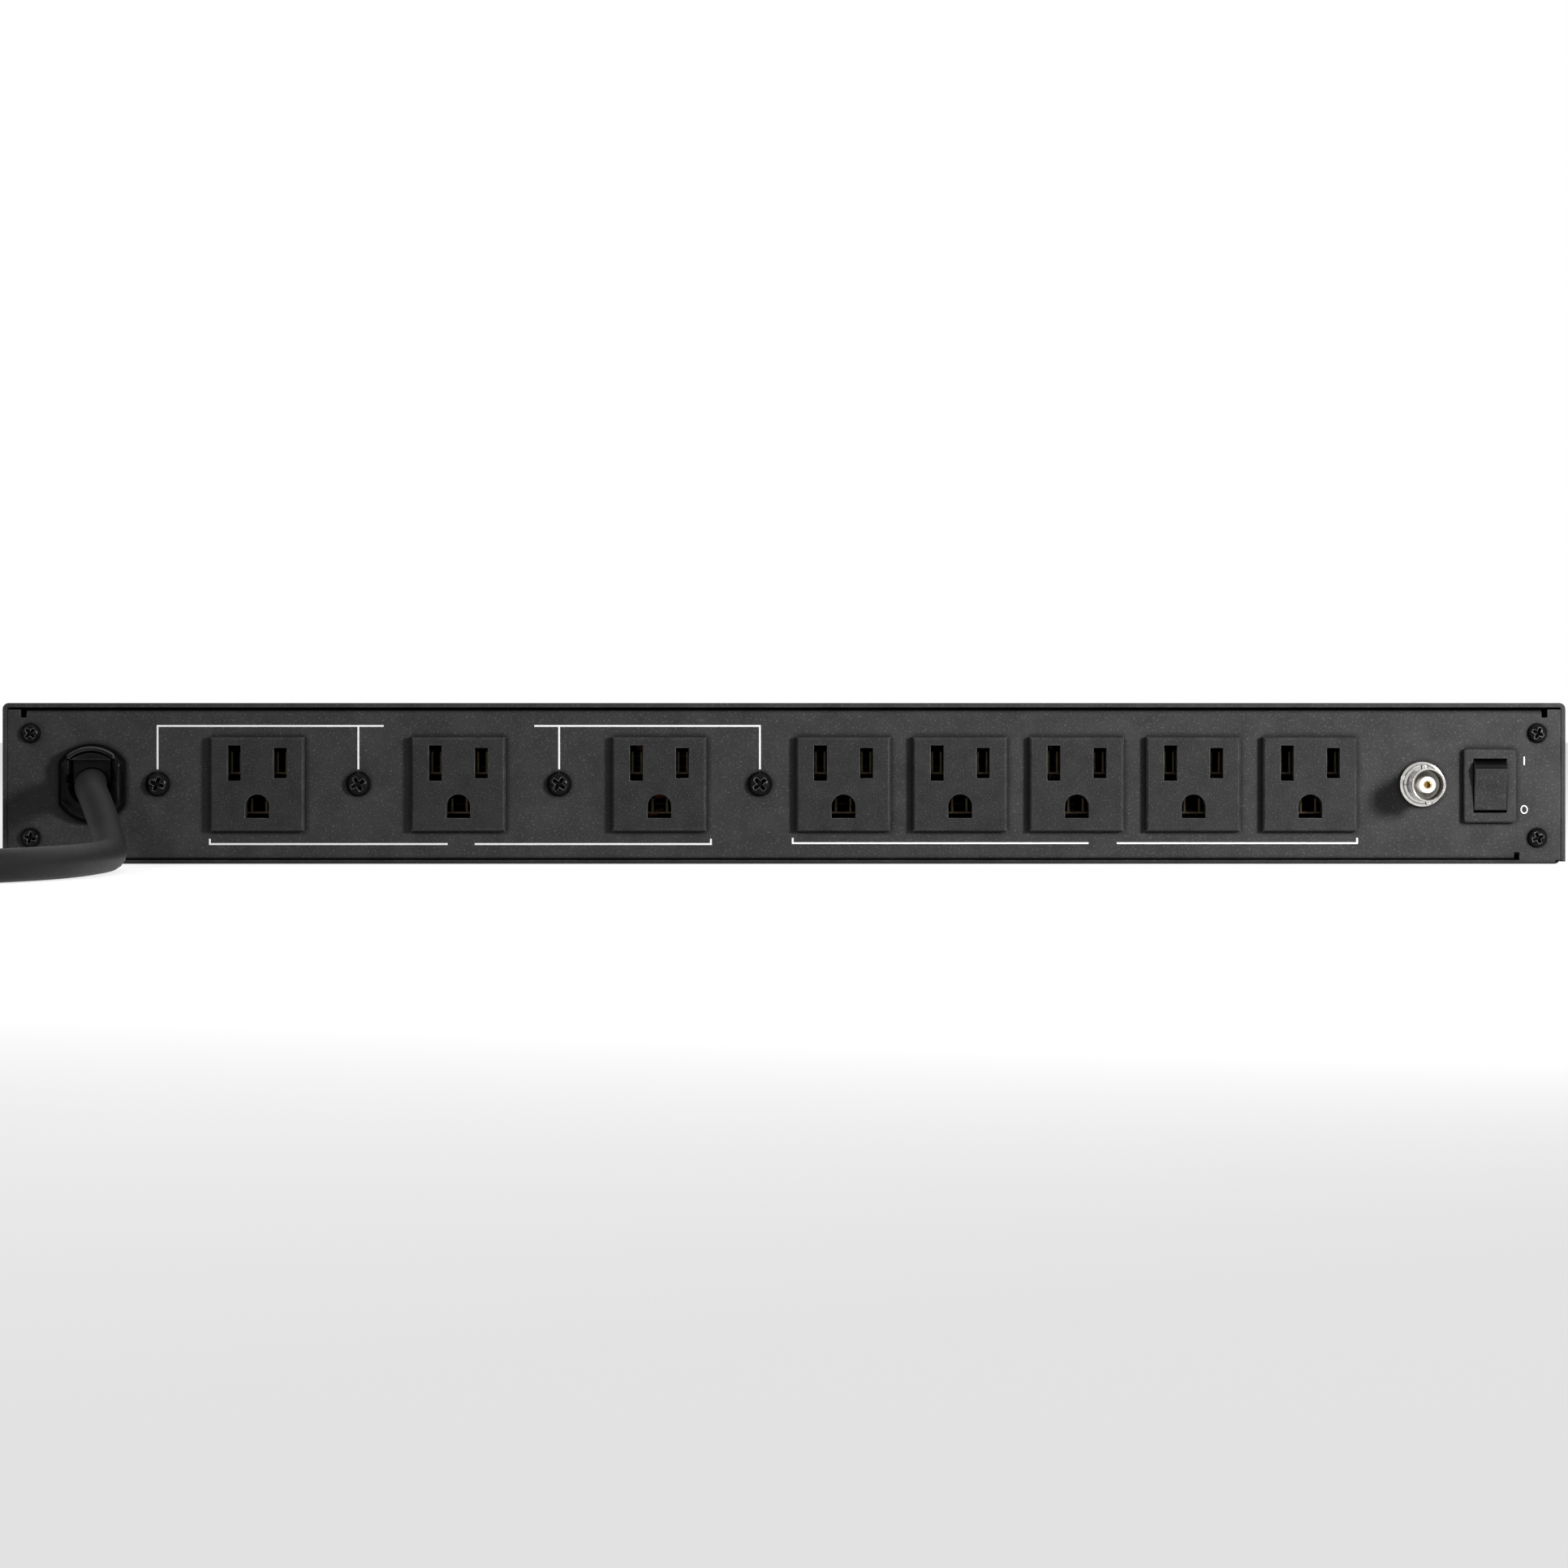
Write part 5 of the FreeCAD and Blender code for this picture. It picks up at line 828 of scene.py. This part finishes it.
WAIST_AT, WAIST_LONG, WAIST_DEPTH = 0.74, 0.09, 1.3 * MM
PLUG_EDGE = 1.6 * MM
TIE_HALF_WIDTH, TIE_THICKNESS = 4.0, 0.7
TIE_REACH = CORD_RADIUS / MM + 0.3
TIE_FLOOR = 0.15


def coil_turns():
    """The centreline winds clockwise from the coil's near side. It closes in turn by turn in the lower
    layer, climbs one diameter along a smooth step, three squares less two cubes, opens out again in the
    upper layer, and leaves on the left."""
    count = LAYER_TURNS * POINTS_PER_TURN
    turn = np.arange(1, 2 * count + POINTS_PER_TURN // 4 - 1) / POINTS_PER_TURN
    inward = COIL_OUTER - (COIL_OUTER - COIL_INNER) * turn / LAYER_TURNS
    outward = COIL_INNER + (COIL_OUTER - COIL_INNER) * (turn - LAYER_TURNS) / LAYER_TURNS
    radius = np.clip(np.where(turn < LAYER_TURNS, inward, outward), COIL_INNER, COIL_OUTER)
    climb = np.clip((turn - LAYER_TURNS + CLIMB_TURNS / 2) / CLIMB_TURNS, 0, 1)
    level = LOWER_LEVEL + (UPPER_LEVEL - LOWER_LEVEL) * climb * climb * (3 - 2 * climb)
    settle = np.clip(turn / SETTLE_TURNS, 0, 1)
    level = ROUTE[-1][2] + (level - ROUTE[-1][2]) * settle
    angle = -np.pi / 2 - 2 * np.pi * turn
    return np.stack([COIL_X + radius * np.cos(angle), COIL_Y + radius * np.sin(angle), level], axis=1)


lead_points = np.concatenate([np.array(ROUTE), coil_turns(), np.array(TAIL)]) * MM
line = bpy.data.curves.new("mains_lead", "CURVE")
line.dimensions = "3D"
line.bevel_depth = CORD_RADIUS
line.bevel_resolution = 6
line.resolution_u = 8
line.use_fill_caps = True
spline = line.splines.new("NURBS")
spline.points.add(len(lead_points) - 1)
weights = np.ones((len(lead_points), 1))
spline.points.foreach_set("co", np.concatenate([lead_points, weights], axis=1).ravel())
spline.order_u = 3
spline.use_endpoint_u = True
lead = bpy.data.objects.new("mains_lead", line)
bpy.context.scene.collection.objects.link(lead)
jacket_pvc = moulded("jacket_pvc", JACKET, 0.50, gloss=0.08, grain=1100, shade=0.2, rounding=0.1 * MM)
mounted(lead, jacket_pvc, "cord_jacket", "root", "power_cord", "cord_coil", "cord_tail")

plug_low, plug_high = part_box("plug_body")
plug_x, plug_start, plug_z = (place * MM for place in TAIL[-1])
plug_long = plug_high.y - plug_low.y
plug_half_wide = (plug_high.x - plug_low.x) / 2
plug_half_tall = (plug_high.z - plug_low.z) / 2


def plug_grip():
    """Rings carried along the plug: round and ribbed over the boot, then a rounded rectangle that swells
    to the grip, with a shallow waist for the fingers, and closes at the blade face. On a ring, the shares
    of its half width and half height, each to the same power, add up to one: the power is two on the
    round boot and five on the grip."""
    along = np.concatenate([np.linspace(0, BOOT_SHARE, 60), np.linspace(BOOT_SHARE, 1, 50)[1:]])
    boot = np.clip(along / BOOT_SHARE, 0, 1)
    swell = np.clip((along - BOOT_SHARE * 0.92) / 0.14, 0, 1)
    swell = swell * swell * (3 - 2 * swell)
    ribs = RIB_DEPTH * (np.abs((boot * BOOT_RIBS) % 1 - 0.5) < 0.22) * (boot < 0.97) * (boot > 0.04)
    boot_radius = BOOT_START + BOOT_SWELL * boot - ribs
    waist = WAIST_DEPTH * np.exp(-((along - WAIST_AT) / WAIST_LONG) ** 2)
    end = np.clip((1 - along) / 0.035, 0, 1)
    rounding = PLUG_EDGE * (1 - np.sqrt(1 - (1 - end) ** 2))
    wide = boot_radius + (plug_half_wide - waist - boot_radius) * swell - rounding
    tall = boot_radius + (plug_half_tall - 0.4 * waist - boot_radius) * swell - rounding
    power = 2 + 3.0 * swell
    angle = np.linspace(0, 2 * np.pi, 97)
    cosine, sine = np.cos(angle), np.sin(angle)
    bend = (np.abs(cosine) ** power[:, None] + np.abs(sine) ** power[:, None]) ** (-1 / power[:, None])
    x = wide[:, None] * bend * cosine
    z = tall[:, None] * bend * sine
    rings = np.stack([plug_x + x, plug_start + along[:, None] * plug_long + 0 * x, plug_z + z], axis=-1)
    first, last = rings[:1].copy(), rings[-1:].copy()
    first[...] = (plug_x, plug_start, plug_z)
    last[...] = (plug_x, plug_start + plug_long, plug_z)
    return np.concatenate([first, rings, last])


plug = mounted(welded("mains_plug", [plug_grip()]), jacket_pvc, "cord_jacket", "root", "plug_body")
dress(plated("plug_nickel", PLUG_NICKEL, 0.2, 600), "plug_blades")


def tie_band():
    """A flat strap carried once round the coil's section in the upright plane through the coil's middle.
    Its path is a rounded rectangle: the sixth powers of its two shares add up to one."""
    middle = (COIL_OUTER + COIL_INNER) / 2
    half_wide = (COIL_OUTER - COIL_INNER) / 2 + TIE_REACH
    top = UPPER_LEVEL + TIE_REACH
    centre_level, half_tall = (top + TIE_FLOOR) / 2, (top - TIE_FLOOR) / 2
    turn = np.linspace(0, 2 * np.pi, 97)
    cosine, sine = np.cos(turn), np.sin(turn)
    bend = (np.abs(cosine) ** 6 + np.abs(sine) ** 6) ** (-1 / 6)
    rows = []
    for width, thick in ((-TIE_HALF_WIDTH, 0.0), (-TIE_HALF_WIDTH, TIE_THICKNESS),
                         (TIE_HALF_WIDTH, TIE_THICKNESS), (TIE_HALF_WIDTH, 0.0), (-TIE_HALF_WIDTH, 0.0)):
        reach = middle + (half_wide + thick) * bend * cosine
        level = centre_level + (half_tall + thick * (sine > 0)) * bend * sine
        rows.append(np.stack([COIL_X + width + 0 * reach, COIL_Y + reach, level], axis=1))
    return np.array(rows) * MM


tie = mounted(welded("lead_tie", [tie_band()]), moulded("tie_strap", TIE_BLACK, 0.6, grain=1800), None,
              "root")

# ---------------------------------------------------------------- studio
# A pale floor that fades to white, soft lamps to the left and right in front of the panel, a soft one
# overhead, and a camera square to the back panel.
VIEW_DISTANCE = 1.35
VIEW_MARGIN = 1.0033
VIEW_WIDTH = 2 * case_half * VIEW_MARGIN
SENSOR = 36.0
PANEL_MIDDLE = 22.05 * MM
eye = bpy.data.cameras.new("eye")
eye.sensor_width = SENSOR
eye.lens = SENSOR * VIEW_DISTANCE / VIEW_WIDTH
eye.shift_y = (PANEL_MIDDLE - case_top) / VIEW_WIDTH
eye.clip_start, eye.clip_end = 0.05, 50.0
camera = bpy.data.objects.new("camera", eye)
camera.location = (0.0, back_y - VIEW_DISTANCE, case_top)
camera.rotation_euler = (math.pi / 2, 0.0, 0.0)
bpy.context.scene.collection.objects.link(camera)
bpy.context.scene.camera = camera


def seen_directly(tree):
    """1 for rays from the camera, off gloss or through glass, and 0 for the rest."""
    path = tree.nodes.new("ShaderNodeLightPath")
    either = grown(tree, "Math", operation="MAXIMUM", _0=path.outputs["Is Camera Ray"],
                   _1=path.outputs["Is Glossy Ray"])
    return grown(tree, "Math", operation="MAXIMUM", _0=either.outputs[0],
                 _1=path.outputs["Is Transmission Ray"]).outputs[0]


FLOOR_SHADE = (0.70, 0.70, 0.70)
FLOOR_LIFT = 0.68
FLOOR_HALF = 4.0
FLOOR_DROP = 0.1 * MM
floor_finish, floor_tree, floor_shader = finish("floor_paper", FLOOR_SHADE, 0.9, gloss=0.0)
floor_shader.inputs["Emission Color"].default_value = (1.0, 1.0, 1.0, 1.0)
lift = grown(floor_tree, "Math", operation="MULTIPLY", _0=seen_directly(floor_tree), _1=FLOOR_LIFT)
floor_tree.links.new(lift.outputs[0], floor_shader.inputs["Emission Strength"])
floor_edges = [-FLOOR_HALF, FLOOR_HALF]
floor_grid = np.stack(np.meshgrid(floor_edges, floor_edges, [-FLOOR_DROP]), axis=-1)
floor_mesh = bpy.data.meshes.new("floor")
floor_mesh.from_pydata(floor_grid.reshape(-1, 3).tolist(), [], [(0, 1, 3, 2)])
floor = bpy.data.objects.new("floor", floor_mesh)
bpy.context.scene.collection.objects.link(floor)
floor_mesh.materials.append(floor_finish)

FILL = 0.07
world = bpy.data.worlds.new("room")
bpy.context.scene.world = world
world.use_nodes = True
air = world.node_tree
backdrop = air.nodes["Background"]
backdrop.inputs["Color"].default_value = (1.0, 1.0, 1.0, 1.0)
air.links.new(ranged(air, seen_directly(air), 0.0, 1.0, FILL, 1.0), backdrop.inputs["Strength"])

# Each lamp: its name, its place, the side of its square, its watts and the point that it faces.
LAMPS = [
    ("right_lamp_box", (0.52, back_y - 0.54, 0.19), 0.12, 7.4, (0.10, back_y, 0.02)),
    ("left_lamp_box", (-0.40, back_y - 0.55, 0.24), 0.10, 0.6, (-0.10, back_y, 0.02)),
    ("overhead_box", (0.0, 0.3, 1.3), 1.0, 3.5, (0.0, 0.1, 0.0)),
]
for name, place, size, power, aim in LAMPS:
    lamp = bpy.data.lights.new(name, "AREA")
    lamp.shape = "SQUARE"
    lamp.size = size
    lamp.energy = power
    fixture = bpy.data.objects.new(name, lamp)
    fixture.location = place
    fixture.rotation_euler = (Vector(place) - Vector(aim)).to_track_quat("Z", "Y").to_euler()
    bpy.context.scene.collection.objects.link(fixture)
bpy.context.scene.view_settings.view_transform = "Standard"
